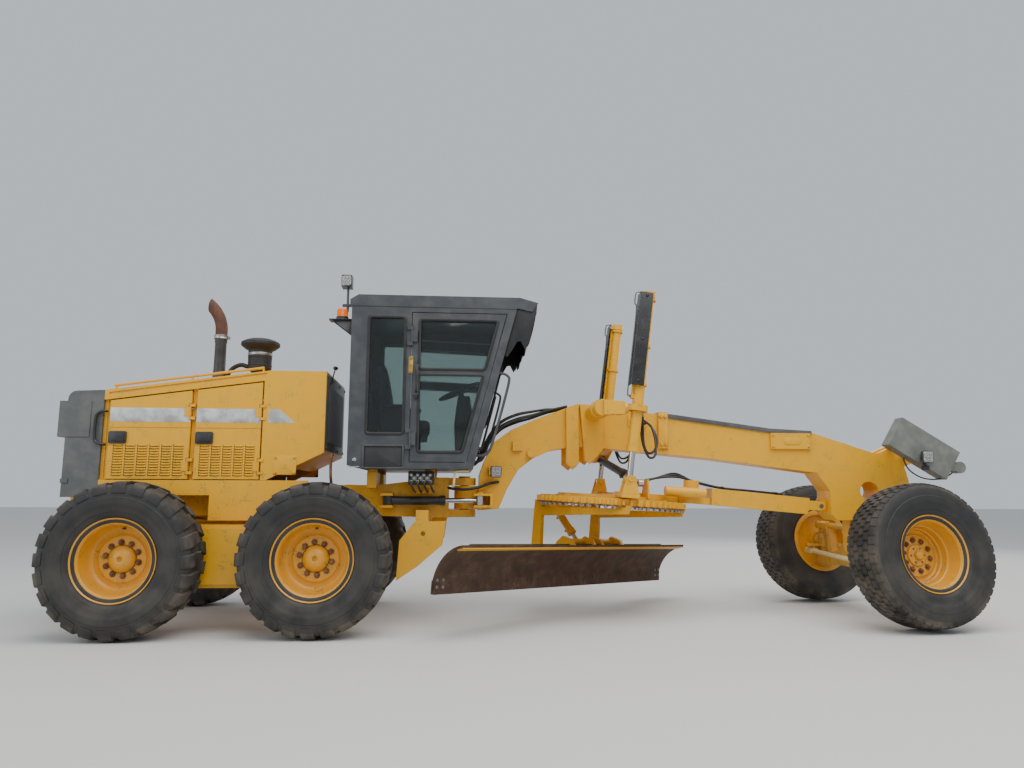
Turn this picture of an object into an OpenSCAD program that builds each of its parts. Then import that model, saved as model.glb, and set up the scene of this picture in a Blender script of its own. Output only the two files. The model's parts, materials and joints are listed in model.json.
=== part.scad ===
// Articulated motor grader, full size, millimetres.
// X runs forward, Y to the machine's left, Z up. Stations along X are
// measured from the middle of the tandem axle, and place() then puts the
// origin on the ground below the middle of the machine.

/* [Wheels] */
// Outer diameter of a tyre over its lugs
tyre_d = 1350; // [1250:5:1400]
// Width of a tyre
tyre_w = 445; // [400:5:450]
// Diameter of the rim at the bead
rim_d = 640; // [600:5:660]
// Width of the rim between its flanges
rim_w = 356; // [330:2:360]
// Distance from the centreline to the middle of a tyre
wheel_y = 1030; // [1020:5:1060]
// Height of a tyre lug
lug_h = 30; // [15:1:40]
// Wheel nuts on a hub
nut_count = 10; // [8:1:12]

/* [Running gear] */
// Distance between the two rear wheels of one side
tandem_base = 1658; // [1600:2:1700]
// Distance from the middle of the tandem to the front axle
wheelbase = 6430; // [6350:10:6500]
// Height of a tandem case
tandem_h = 560; // [480:5:600]
// Width of a tandem case
tandem_w = 170; // [150:2:176]
// Distance from the centreline to a king pin
king_y = 800; // [780:2:805]
// Lean of the front wheels as parked, tops to the left
lean_rest = 8; // [0:0.5:10]
// Steering of the front wheels as parked, to the left
steer_rest = 8; // [0:0.5:10]
// Length of the arms of a steering knuckle
knuckle_arm = 205; // [180:1:208]
// Thickness of the tie rod
tie_rod_d = 50; // [36:1:56]

/* [Rear body] */
// Width over the engine hood
hood_w = 1200; // [1100:10:1240]
// Station of the rear edge of the hood doors
hood_rear_x = -1280; // [-1320:10:-1240]
// Station of the front edge of the hood doors
hood_split_x = 250; // [230:5:270]
// Station of the front end of the hood
hood_front_x = 790; // [770:5:820]
// Height of the hood at its rear edge
hood_rear_z = 2215; // [2180:5:2240]
// Height of the hood at its front edge
hood_front_z = 2425; // [2400:5:2450]
// Height of the bottom edge of the hood doors
hood_low_z = 1375; // [1350:5:1400]
// Thickness of a hood door
door_t = 30; // [20:1:40]
// Clearance round a door or lid
door_gap = 6; // [5:0.5:8]
// Length of the radiator shroud behind the hood
shroud_l = 330; // [300:5:340]
// Height of a louvre
louvre_h = 12; // [8:1:16]

/* [Cab] */
// Width over the cab
cab_w = 1500; // [1400:10:1520]
// Station of the rear wall of the cab
cab_rear_x = 1030; // [1010:5:1050]
// Length of the cab at its roof
cab_l = 1610; // [1560:10:1640]
// Length of the cab at its floor
cab_low_l = 1190; // [1150:10:1240]
// Height of the cab floor's underside
cab_low_z = 1480; // [1460:5:1500]
// Height over the cab roof
cab_top_z = 3170; // [3100:5:3200]
// Thickness of the cab walls and doors
cab_wall = 50; // [40:1:60]

/* [Rear frame] */
// Station of the articulation pin
hinge_x = 2150; // [2120:5:2180]
// Diameter of the articulation pins
hinge_pin_d = 90; // [70:2:110]
// Outer width of the rear frame rails
rail_span = 760; // [700:10:800]
// Height of a rear frame rail
rail_h = 300; // [260:5:320]
// Thickness of a rear frame rail
rail_t = 110; // [90:2:130]
// Height of the rail's underside
rail_low_z = 1030; // [1010:5:1050]
// Bore of the rear towing hitch
hitch_bore = 42; // [36:1:48]

/* [Front frame] */
// Width of the front frame beam
beam_w = 300; // [260:5:320]
// Thickness of a lug plate of the front frame
lug_t = 60; // [50:2:70]
// Station of the circle's centre
circle_x = 3700; // [3660:5:3740]
// Diameter of the pin through the nose's two lugs
nose_pin_d = 50; // [40:1:56]

/* [Blade gear] */
// Outer diameter of the circle over its teeth
circle_d = 1560; // [1500:10:1600]
// Height of the circle's ring
circle_h = 70; // [56:2:80]
// Teeth on the circle
circle_teeth = 64; // [48:4:72]
// Length of the blade
blade_l = 3660; // [3500:20:3680]
// Drop from the circle's middle to the cutting edge
edge_drop = 900; // [860:5:920]
// Radius of the blade's curved face
blade_r = 413; // [400:1:430]
// Thickness of the blade
blade_t = 22; // [18:1:26]
// Turn of the circle as parked, left end of the blade ahead
circle_turn = 47; // [40:1:52]
// Side shift of the blade as parked, to its right end
blade_shift = 290; // [200:10:320]

/* [Cylinders] */
// Distance from the centreline to a lift cylinder
lift_y = 750; // [740:5:780]
// Outer diameter of a lift cylinder
lift_d = 110; // [90:2:120]
// Outer diameter of the other cylinders
cyl_d = 84; // [70:2:90]
// Share of a cylinder's diameter taken by its rod
rod_share = 0.55; // [0.45:0.01:0.62]

/* [Hidden] */
$fn = 48;

// Running clearance of a pin in its bore, on the radius
run = 0.4;
// Gap between two moving pieces that don't bear on each other
free = 8;
// Seat gap between two pieces of one body with curved faces
seat = 0.3;

tyre_r = tyre_d / 2;
rim_r = rim_d / 2;
wheel_z = tyre_r;
rear_stations = [-tandem_base / 2, tandem_base / 2];
// The slab ends the machine in front, the lamp boxes behind
tail_x = hood_rear_x - shroud_l - 70;
nose_x = wheelbase + 830;
mid_x = (tail_x + nose_x) / 2;

module place() translate([-mid_x, 0, 0]) children();
module on_side(s) {
  if (s > 0) children();
  else mirror([0, 1, 0]) children();
}
module both_sides() {
  children();
  mirror([0, 1, 0]) children();
}
// A side outline of points [x, z], carried across from y - w / 2 to y + w / 2
module outline(points, w, y = 0)
  translate([0, y, 0]) rotate([90, 0, 0]) linear_extrude(w, center = true) polygon(points);
// A box given by its corner of lowest values and its corner of highest values
module block(low, high) translate(low) cube(high - low);
// A round bar along Y whose middle is at p, and one along X
module bar_y(p, r, l) translate(p) rotate([90, 0, 0]) cylinder(r = r, h = l, center = true);
module bar_x(p, r, l) translate(p) rotate([0, 90, 0]) cylinder(r = r, h = l, center = true);
module bar_z(p, r, l) translate(p) cylinder(r = r, h = l, center = true);
// Points of an arc about c from angle a0 to a1
function arc(c, r, a0, a1, n) = [for (i = [0:n]) let (a = a0 + (a1 - a0) * i / n) [c[0] + r * cos(a), c[1] + r * sin(a)]];
// The way from one pin to another, with the local Z along it, turned by roll about it
function gap(a, b) = norm(b - a);
module aim(a, b, roll = 0) {
  d = b - a;
  translate(a) rotate([0, acos(d[2] / norm(d)), atan2(d[1], d[0])]) rotate([0, 0, roll]) children();
}
// A hydraulic cylinder's barrel: its eye at the origin, its mouth at length l.
// The eye's bore takes a pin of radius pin_r; the rod runs in the open end.
module barrel(l, d, pin_r, eye_w) {
  difference() {
    union() {
      rotate([90, 0, 0]) cylinder(r = pin_r + 22, h = eye_w, center = true);
      translate([0, 0, pin_r + 8]) cylinder(d = d, h = l - pin_r - 8 - 50);
      translate([0, 0, l - 52]) cylinder(d = d + 16, h = 52);
      translate([d / 2 - 6, 0, pin_r + 46]) rotate([0, 90, 0]) cylinder(r = 14, h = 26);
      translate([d / 2 - 6, 0, l - 80]) rotate([0, 90, 0]) cylinder(r = 14, h = 26);
    }
    rotate([90, 0, 0]) cylinder(r = pin_r + run, h = eye_w + 4, center = true);
    translate([0, 0, pin_r + 34]) cylinder(d = d * rod_share + 2 * run, h = l);
  }
}
// A hydraulic cylinder's rod: its eye at height eye_z, its inner end l below that
module rod(eye_z, l, d, pin_r, eye_w) {
  difference() {
    union() {
      translate([0, 0, eye_z]) rotate([90, 0, 0]) cylinder(r = pin_r + 20, h = eye_w, center = true);
      translate([0, 0, eye_z - l]) cylinder(d = d * rod_share, h = l - pin_r - 4);
    }
    translate([0, 0, eye_z]) rotate([90, 0, 0]) cylinder(r = pin_r + run, h = eye_w + 4, center = true);
  }
}

// Wheels, built about the origin with the axle along Y and the outside at +Y

// Half section of a tyre as [y, r], from the bead to the middle of the tread
tyre_edge = [[rim_w / 2 - 3, rim_r], [rim_w / 2 - 3, rim_r + 42], [tyre_w / 2 - 12, rim_r + 92],
  [tyre_w / 2, rim_r + 170], [tyre_w / 2 - 4, rim_r + 250], [tyre_w / 2 - 30, tyre_r - 22],
  [tyre_w / 2 - 60, tyre_r - 5], [0, tyre_r]];
lug_count = 24;
block_count = 30;
block_rows = 3;
module tyre_ring(drop, sides) rotate([-90, 0, 0]) rotate_extrude($fn = sides)
  polygon(concat([for (p = tyre_edge) [min(p[1], tyre_r - drop), p[0]]],
    [for (i = [len(tyre_edge) - 2:-1:0]) [min(tyre_edge[i][1], tyre_r - drop), -tyre_edge[i][0]]]));
// Teeth of a tread, n wedges over a share of the pitch, from y0 to y1
module tread_teeth(n, share, y0, y1, turn) translate([0, y1, 0]) rotate([90, 0, 0]) linear_extrude(y1 - y0)
  for (i = [0:n - 1]) rotate((i + turn) * 360 / n)
    polygon([[0, 0], [tyre_r + 20, -(tyre_r + 20) * tan(180 / n * share)],
      [tyre_r + 20, (tyre_r + 20) * tan(180 / n * share)]]);
// Wide bars on each shoulder, staggered, with a groove round the middle
module tyre_bars() {
  tyre_ring(lug_h, 2 * lug_count);
  intersection() {
    tyre_ring(0, 2 * lug_count);
    difference() {
      union() {
        tread_teeth(lug_count, 0.62, 12, tyre_w / 2 + 1, 0);
        tread_teeth(lug_count, 0.62, -tyre_w / 2 - 1, -12, 0.5);
      }
      rotate([90, 0, 0]) cylinder(r = tyre_r - lug_h - 20, h = tyre_w + 10, center = true);
    }
  }
}
// Rows of small blocks
module tyre_blocks() {
  tyre_ring(lug_h / 2, 4 * block_count);
  intersection() {
    tyre_ring(0, 4 * block_count);
    difference() {
      for (row = [0:block_rows - 1]) let (row_w = tyre_w / block_rows, y0 = -tyre_w / 2 + row * row_w)
        tread_teeth(block_count, 0.7, y0 + 8, y0 + row_w - 8, row % 2 / 2);
      rotate([90, 0, 0]) cylinder(r = tyre_r - lug_h - 10, h = tyre_w + 10, center = true);
    }
  }
}
// Dished rim: plate_y is the station of its plate, from the middle of the tyre
module rim(plate_y, hub_r, hub_out, cap_r) {
  difference() {
    union() {
      rotate([-90, 0, 0]) rotate_extrude() polygon([
        [rim_r - 16, -rim_w / 2], [rim_r - 16, plate_y - 40], [hub_r + 60, plate_y - 8], [10, plate_y - 8],
        [10, plate_y + 14], [hub_r + 56, plate_y + 14], [rim_r - 34, plate_y - 6], [rim_r - 20, plate_y + 20],
        [rim_r - 16, rim_w / 2 - 10], [rim_r + 34, rim_w / 2 + 12], [rim_r + 40, rim_w / 2 + 6],
        [rim_r + 38, rim_w / 2], [rim_r - seat, rim_w / 2 - 2], [rim_r - seat, -rim_w / 2 + 2],
        [rim_r + 38, -rim_w / 2], [rim_r + 38, -rim_w / 2 - 10]]);
      rotate([-90, 0, 0]) translate([0, 0, plate_y - 70]) cylinder(r = hub_r - 24, h = 80);
      rotate([-90, 0, 0]) translate([0, 0, plate_y + 10]) cylinder(r1 = hub_r - 6, r2 = cap_r + 12, h = hub_out);
      rotate([-90, 0, 0]) translate([0, 0, plate_y + 8 + hub_out]) cylinder(r = cap_r, h = 26);
      for (i = [0:nut_count - 1]) rotate([0, i * 360 / nut_count, 0])
        translate([hub_r + 26, plate_y + 26, 0]) rotate([90, 0, 0]) cylinder(r = 17, h = 30, center = true, $fn = 6);
    }
    // Blind bore for the spindle
    rotate([-90, 0, 0]) translate([0, 0, plate_y - 80]) cylinder(r = spindle_r + run, h = spindle_in + 80);
  }
}
spindle_r = 55;
spindle_in = 8;
rear_plate_y = -20;
front_plate_y = -70;
// Where a wheel stands: rear ones at a station, front ones leaned and steered
module at_rear(s, x) translate([x, s * wheel_y, wheel_z]) on_side(s) children();

module rim_rear(s, x) place() color("gold") at_rear(s, x) rim(rear_plate_y, 118, 60, 52);
module tyre_rear(s, x) place() color([0.12, 0.12, 0.12]) at_rear(s, x) tyre_bars();
module rim_front(s) place() color("gold") at_front(s) rim(front_plate_y, 118, 34, 45);
module tyre_front(s) place() color([0.12, 0.12, 0.12]) at_front(s) tyre_blocks();

// Rear frame, tandem and hood

rail_y = rail_span / 2 - rail_t / 2;
neck_x = 1300;
neck_y = 250;
ear_r = 118;
ear_h = 76;
hinge_low_z = rail_low_z - 20;
hinge_top_z = rail_low_z + rail_h + 80;
guard_y = hood_w / 2 + 6;
guard_edge = [[1670, 980], [1970, 990], [1940, 765], [1700, 560], [1505, 430], [1530, 805]];
// Pins of the articulation cylinders, right side
hinge_cyl_from = [1400, -470, rail_low_z + 150];
hinge_cyl_to = [hinge_x + 150, -330, rail_low_z + 150];
hinge_cyl_pin = 26;
// The hood's top edge runs straight between its rear and front heights
function hood_z(x) = hood_rear_z + (hood_front_z - hood_rear_z) * (x - hood_rear_x) / (hood_split_x - hood_rear_x);

module rear_frame() place() color("gold") difference() {
  union() {
    // Rails, with the cross members and the sills under the hood
    both_sides() block([hood_rear_x - shroud_l + 20, rail_y - rail_t / 2, rail_low_z],
      [neck_x, rail_y + rail_t / 2, rail_low_z + rail_h]);
    // The rails draw in and deepen toward the articulation
    intersection() {
      outline([[neck_x - 1, rail_low_z], [1925, hinge_low_z], [1925, hinge_top_z], [neck_x - 1, rail_low_z + rail_h]], rail_span);
      both_sides() translate([0, 0, hinge_low_z]) linear_extrude(400)
        polygon([[neck_x - 2, rail_y - rail_t / 2], [neck_x - 2, rail_y + rail_t / 2], [1480, rail_y + rail_t / 2],
          [1926, neck_y], [1926, neck_y - rail_t]]);
    }
    for (x = [hood_rear_x - 250, -500, 500, 1300])
      block([x, -rail_y, rail_low_z + 40], [x + 90, rail_y, rail_low_z + rail_h - 20]);
    both_sides() outline([[hood_rear_x, 1225], [680, 1225], [680, 1290], [640, hood_low_z - free],
      [hood_rear_x, hood_low_z - free]], 60, hood_w / 2 - 32);
    for (x = [-1150, -250, 560]) both_sides()
      block([x, rail_y, 1240], [x + 60, hood_w / 2 - 32, 1320]);
    // Cheeks between the wheels, over the tandem
    both_sides() block([-260, hood_w / 2 - 40, 990], [330, hood_w / 2 - 2, 1230]);
    both_sides() block([-200, rail_y, rail_low_z + 60], [240, hood_w / 2 - 20, rail_low_z + 120]);
    // Casting with two ears that hold the articulation pin
    outline([[1850, hinge_low_z], [1990, hinge_low_z], [1990, hinge_top_z], [1850, hinge_top_z]], 2 * neck_y);
    for (z = [hinge_low_z, hinge_top_z - ear_h]) translate([0, 0, z]) {
      translate([1960, -ear_r, 0]) cube([hinge_x - 1960, 2 * ear_r, ear_h]);
      translate([hinge_x, 0, 0]) cylinder(r = ear_r, h = ear_h);
    }
    bar_z([hinge_x, 0, (hinge_low_z + hinge_top_z) / 2], hinge_pin_d / 2, hinge_top_z - hinge_low_z - 2);
    bar_z([hinge_x, 0, hinge_top_z + 8], hinge_pin_d / 2 + 16, 20);
    // Cab floor mounts
    for (x = [1200, 1760]) both_sides() {
      block([x, rail_y - 120, rail_low_z + rail_h - 30], [x + 90, rail_y + 220, cab_low_z - 30]);
      bar_z([x + 45, rail_y + 150, cab_low_z - 16], 50, 32 - 2 * seat);
    }
    // Brackets of the articulation cylinders
    both_sides() {
      for (e = [-1, 1]) block([1330, rail_y, hinge_cyl_from[2] + e * 58 - 12],
        [1450, -hinge_cyl_from[1] + 50, hinge_cyl_from[2] + e * 58 + 12]);
      bar_z([hinge_cyl_from[0], -hinge_cyl_from[1], hinge_cyl_from[2]], hinge_cyl_pin, 120);
    }
    // Hanging step plates with their brackets
    both_sides() outline(guard_edge, 12, guard_y);
    both_sides() outline([[1680, 900], [1800, 900], [1800, 1090], [1680, 1090]], guard_y - 200, (guard_y + 200) / 2);
    // Tail plate with the towing hitch
    block([hood_rear_x - shroud_l - 10, -rail_y - rail_t / 2, 900], [hood_rear_x - shroud_l + 30, rail_y + rail_t / 2, 1330]);
    both_sides() translate([0, 62, 0]) outline([[hood_rear_x - shroud_l + 10, 920], [tail_x + 20, 950],
      [tail_x + 4, 975], [tail_x + 4, 1015], [tail_x + 20, 1040], [hood_rear_x - shroud_l + 10, 1070]], 40);
    // Valve block with its fittings, on the right of the frame
    block([1640, -rail_y - rail_t / 2 - 70, 1250], [1850, -neck_y + 20, 1400]);
    for (x = [1670:44:1830], z = [1285, 1365]) bar_y([x, -rail_y - rail_t / 2 - 84, z], 13, 40);
  }
  bar_y([tail_x + 36, 0, 995], hitch_bore / 2, 220);
  both_sides() bar_y([1752, guard_y, 870], 22, 40);
}

module tandem() place() color("gold") {
  case_y = hood_w / 2 + 20 + tandem_w / 2;
  both_sides() {
    // Chain case with round ends, its cover plate and the four wheel stubs
    translate([0, case_y, wheel_z]) rotate([90, 0, 0]) {
      linear_extrude(tandem_w - 30, center = true) {
        translate([-tandem_base / 2, -tandem_h / 2]) square([tandem_base, tandem_h]);
        for (x = rear_stations) translate([x, 0]) circle(tandem_h / 2);
      }
      linear_extrude(tandem_w, center = true) {
        translate([-tandem_base / 2, -tandem_h / 2 + 30]) square([tandem_base, tandem_h - 60]);
        for (x = rear_stations) translate([x, 0]) circle(tandem_h / 2 - 30);
      }
    }
    for (x = rear_stations) {
      bar_y([x, case_y + tandem_w / 2 + 6, wheel_z], 130, 60);
      bar_y([x, (case_y + wheel_y + rear_plate_y) / 2 + 2, wheel_z], spindle_r,
        wheel_y + rear_plate_y - case_y);
    }
  }
  // Axle housing with its bowl and the pads that carry the frame
  bar_y([0, 0, wheel_z], 130, 2 * case_y);
  translate([0, 0, wheel_z]) sphere(r = 230);
  both_sides() block([-150, rail_y - 55, wheel_z + 60], [150, rail_y + 55, rail_low_z - seat]);
}

// Section of the hood's frame across the machine: posts and roof
module hood() place() color("gold") {
  difference() {
    union() {
      // Roof falling to the rear and the front box, as one shell
      difference() {
        outline([[hood_rear_x, hood_z(hood_rear_x) - 95], [hood_split_x - 50, hood_z(hood_split_x - 50) - 95],
          [hood_split_x - 50, hood_low_z - free + seat], [hood_split_x, hood_low_z - free + seat],
          [hood_front_x, hood_low_z + 260], [hood_front_x, hood_front_z], [hood_split_x, hood_front_z],
          [hood_rear_x, hood_rear_z]], hood_w - 2);
        outline([[hood_rear_x - 10, hood_low_z - 40], [hood_split_x, hood_low_z - 40], [hood_front_x - 40, hood_low_z + 280],
          [hood_front_x - 40, hood_front_z - 40], [hood_split_x, hood_front_z - 40], [hood_rear_x - 10, hood_rear_z - 40]],
          hood_w - 2 * door_t - 2 * free - 2);
      }
      // Posts behind, between and ahead of the doors
      both_sides() for (x = [hood_rear_x, door_mid_x - 2])
        block([x, hood_w / 2 - 90, hood_low_z - free + seat], [x + 50, hood_w / 2 - door_t - free, hood_z(x) - 60]);
      // Rear bulkhead at both sides of the fan's opening
      block([hood_rear_x, -hood_w / 2 + 30, hood_low_z - free + seat], [hood_rear_x + 30, -hood_w / 2 + 200, hood_rear_z - 60]);
      block([hood_rear_x, hood_w / 2 - 200, hood_low_z - free + seat], [hood_rear_x + 30, hood_w / 2 - 30, hood_rear_z - 60]);
      // Hinges of the doors: ears and the pin between them, on an arm from the post
      both_sides() for (n = [0, 1], z = hood_hinge_z) let (x = hood_hinge_x(n)) {
        bar_z([x, hinge_y, z], 5, 150);
        for (e = [-1, 1]) {
          bar_z([x, hinge_y, z + e * 61], 9, 28);
          block([x, hinge_y - 4, z + e * 61 - 14], [x + 50, hinge_y + 4, z + e * 61 + 14]);
          block([x + 18, hood_w / 2 - door_t - free - 12, z + e * 61 - 14], [x + 50, hinge_y, z + e * 61 + 14]);
        }
      }
      // Handrails
      both_sides() {
        for (x = [hood_rear_x + 80, -500, hood_split_x - 80])
          bar_z([x, hood_w / 2 - 60, hood_z(x) + 22], 10, 50);
        aim([hood_rear_x + 60, hood_w / 2 - 60, hood_z(hood_rear_x + 60) + 44],
          [hood_split_x - 60, hood_w / 2 - 60, hood_z(hood_split_x - 60) + 44]) cylinder(r = 13, h = 1410);
      }
    }
    // Groove along the top edge
    both_sides() outline([[hood_rear_x + 40, hood_z(hood_rear_x) - 40], [hood_split_x - 30, hood_z(hood_split_x) - 40],
      [hood_split_x - 30, hood_z(hood_split_x) - 22], [hood_rear_x + 40, hood_z(hood_rear_x) - 22]], 24, hood_w / 2);
    // Service door of the front box
    both_sides() block([340, hood_w / 2 - 8, hood_low_z + 40], [540, hood_w / 2 + 4, hood_low_z + 46]);
    outline([[hood_split_x + 60, hood_front_z - 500], [hood_front_x + 10, hood_front_z - 500],
      [hood_front_x + 10, hood_front_z - 90], [hood_split_x + 60, hood_front_z - 90]], hood_w - 260);
  }
}

// Side doors of the hood: a name of the place, rear edge, front edge and louvre columns
door_rear_x = hood_rear_x + 60;
door_mid_x = -470;
door_front_x = hood_split_x - 60;
DOOR_FROM = 0;
DOOR_TO = 1;
DOOR_COLUMNS = 2;
doors = [[door_rear_x, door_mid_x, 6], [door_mid_x + 46, door_front_x, 5]];
louvre_rows = 12;
// Hinge axis of door n, and the heights of its two hinges
function hood_hinge_x(n) = doors[n][DOOR_TO] - door_gap / 2 - 9;
hinge_y = hood_w / 2 + 3;
hood_hinge_z = [hood_low_z + 120, hood_low_z + 640];

// Door n on side s, hinged on its front edge at the hood's outer face
module hood_door(n, s) place() color("gold") on_side(s) {
  d = doors[n];
  x0 = d[DOOR_FROM] + door_gap / 2;
  x1 = d[DOOR_TO] - door_gap / 2;
  column_w = (x1 - x0 - 80) / d[DOOR_COLUMNS];
  difference() {
    outline([[x0, hood_low_z], [x1, hood_low_z], [x1, hood_z(x1) - 108], [x0, hood_z(x0) - 108]], door_t,
      hood_w / 2 - door_t / 2);
    for (i = [0:d[DOOR_COLUMNS] - 1], j = [0:louvre_rows - 1])
      block([x0 + 40 + i * column_w + 8, hood_w / 2 - 9, hood_low_z + 30 + j * 25],
        [x0 + 40 + (i + 1) * column_w - 8, hood_w / 2 + 5, hood_low_z + 30 + j * 25 + louvre_h]);
    for (z = hood_hinge_z) block([hood_hinge_x(n) - 14, hood_w / 2 - 20, z - 80], [x1 + 5, hood_w / 2 + 5, z + 80]);
    // Groove along the lower edge of the stripe
    block([x0 - 5, hood_w / 2 - 3, hood_low_z + 480], [x1 + 5, hood_w / 2 + 5, hood_low_z + 486]);
  }
  // Latch, and the hinge's knuckles
  block([x0 + 12, hood_w / 2 - 4, hood_low_z + 350], [x0 + 150, hood_w / 2 + 14, hood_low_z + 430]);
  for (z = hood_hinge_z) difference() {
    union() {
      bar_z([hood_hinge_x(n), hinge_y, z], 9, 90);
      block([hood_hinge_x(n) - 50, hinge_y - 9, z - 45], [hood_hinge_x(n), hinge_y + 4, z + 45]);
    }
    bar_z([hood_hinge_x(n), hinge_y, z], 5 + run, 100);
  }
}

module shroud() place() color([0.55, 0.56, 0.55]) difference() {
  x0 = hood_rear_x - shroud_l;
  x1 = hood_rear_x - seat;
  union() {
    // Shell with a round upper rear edge
    outline(concat([[x1, hood_low_z - 170], [x1, hood_rear_z]], arc([x0 + 80, hood_rear_z - 90], 80, 90, 180, 6),
      [[x0, hood_low_z - 170]]), hood_w);
    // Lamp boxes that stand out at the rear corners
    both_sides() block([tail_x, hood_w / 2 - 190, hood_rear_z - 450], [x0 + 220, hood_w / 2 + 6, hood_rear_z - 110]);
    both_sides() block([x0 - 8, hood_w / 2 - 120, hood_low_z - 40], [x0 + 60, hood_w / 2 + 8, hood_low_z]);
  }
  // Seat on the tail of the frame
  block([x0 - 11, -rail_span / 2 - seat, hood_low_z - 180], [x1 + 10, rail_span / 2 + seat, rail_low_z + rail_h + seat]);
  // The way of the cooling air, from the engine bay out at the rear
  block([x0 + 60, -hood_w / 2 + 40, hood_low_z - 130], [x1 + 10, hood_w / 2 - 40, hood_rear_z - 60]);
  for (i = [0:17]) block([x0 - 20, -hood_w / 2 + 230, hood_low_z - 90 + i * 46],
    [x0 + 80, hood_w / 2 - 230, hood_low_z - 90 + i * 46 + 28]);
}

module engine() place() color([0.25, 0.25, 0.24]) {
  low = rail_low_z + rail_h + seat;
  // Block with its sump between the rails, and the radiator's core behind the fan
  block([-1050, -300, low], [120, 300, low + 680]);
  bar_x([-1110, 0, low + 330], 60, 130);
  bar_x([-1190, 0, low + 330], 330, 40);
}

exhaust_at = [-420, 0];
cleaner_at = [-10, 0];
module exhaust() place() color([0.3, 0.2, 0.15]) difference() {
  stacks();
  // Both stand on the sloping hood
  outline([[-900, hood_z(-900) - 200], [hood_split_x, hood_front_z - 200], [hood_split_x, hood_front_z + seat],
    [-900, hood_z(-900) + seat]], 600);
}
module stacks() {
  z0 = hood_z(exhaust_at[0]) - 20;
  translate([exhaust_at[0], exhaust_at[1], z0]) {
    cylinder(r = 82, h = 44);
    difference() {
      cylinder(r = 66, h = 440);
      translate([0, 0, 40]) cylinder(r = 60, h = 440);
    }
    translate([0, 0, 400]) difference() {
      cylinder(r = 76, h = 36);
      translate([0, 0, -1]) cylinder(r = 66, h = 60);
    }
    // Curved end, cut off at a slant
    translate([-330, 0, 440]) rotate([90, 0, 0]) rotate_extrude(angle = 56) translate([330, 0]) difference() {
      circle(66);
      circle(60);
    }
  }
  // Air precleaner on its elbow
  translate([cleaner_at[0], cleaner_at[1], hood_z(cleaner_at[0]) - 20]) {
    cylinder(r = 88, h = 50);
    cylinder(r = 66, h = 140);
    translate([0, 0, 100]) cylinder(r1 = 66, r2 = 125, h = 60);
    translate([0, 0, 150]) cylinder(r = 125, h = 230);
    translate([0, 0, 370]) cylinder(r1 = 140, r2 = 196, h = 40);
    translate([0, 0, 408]) cylinder(r = 198, h = 40);
    translate([0, 0, 446]) cylinder(r1 = 196, r2 = 120, h = 40);
  }
}

// Cab, on the rear frame ahead of the hood

cab_front_x = cab_rear_x + cab_l;
cab_knee_x = cab_rear_x + cab_low_l;
cab_post_x = cab_rear_x + 560;
cab_out = cab_w / 2;
roof_low_z = cab_top_z - 110;
// Station of the slanted front at a height
function cab_front(z) = cab_knee_x + (cab_front_x - cab_knee_x) * (z - cab_low_z) / (roof_low_z - cab_low_z);
// Inside outline of an opening that keeps a margin from the slanted front
function slanted(x0, z0, z1, margin) = [[x0, z0], [cab_front(z0) - margin, z0], [cab_front(z1) - margin, z1], [x0, z1]];
cab_door_x = cab_post_x + 20;
sill_z = cab_low_z + 60;
cab_hinge_y = cab_out + 14;
cab_hinge_z = [1760, 2760];

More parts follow.
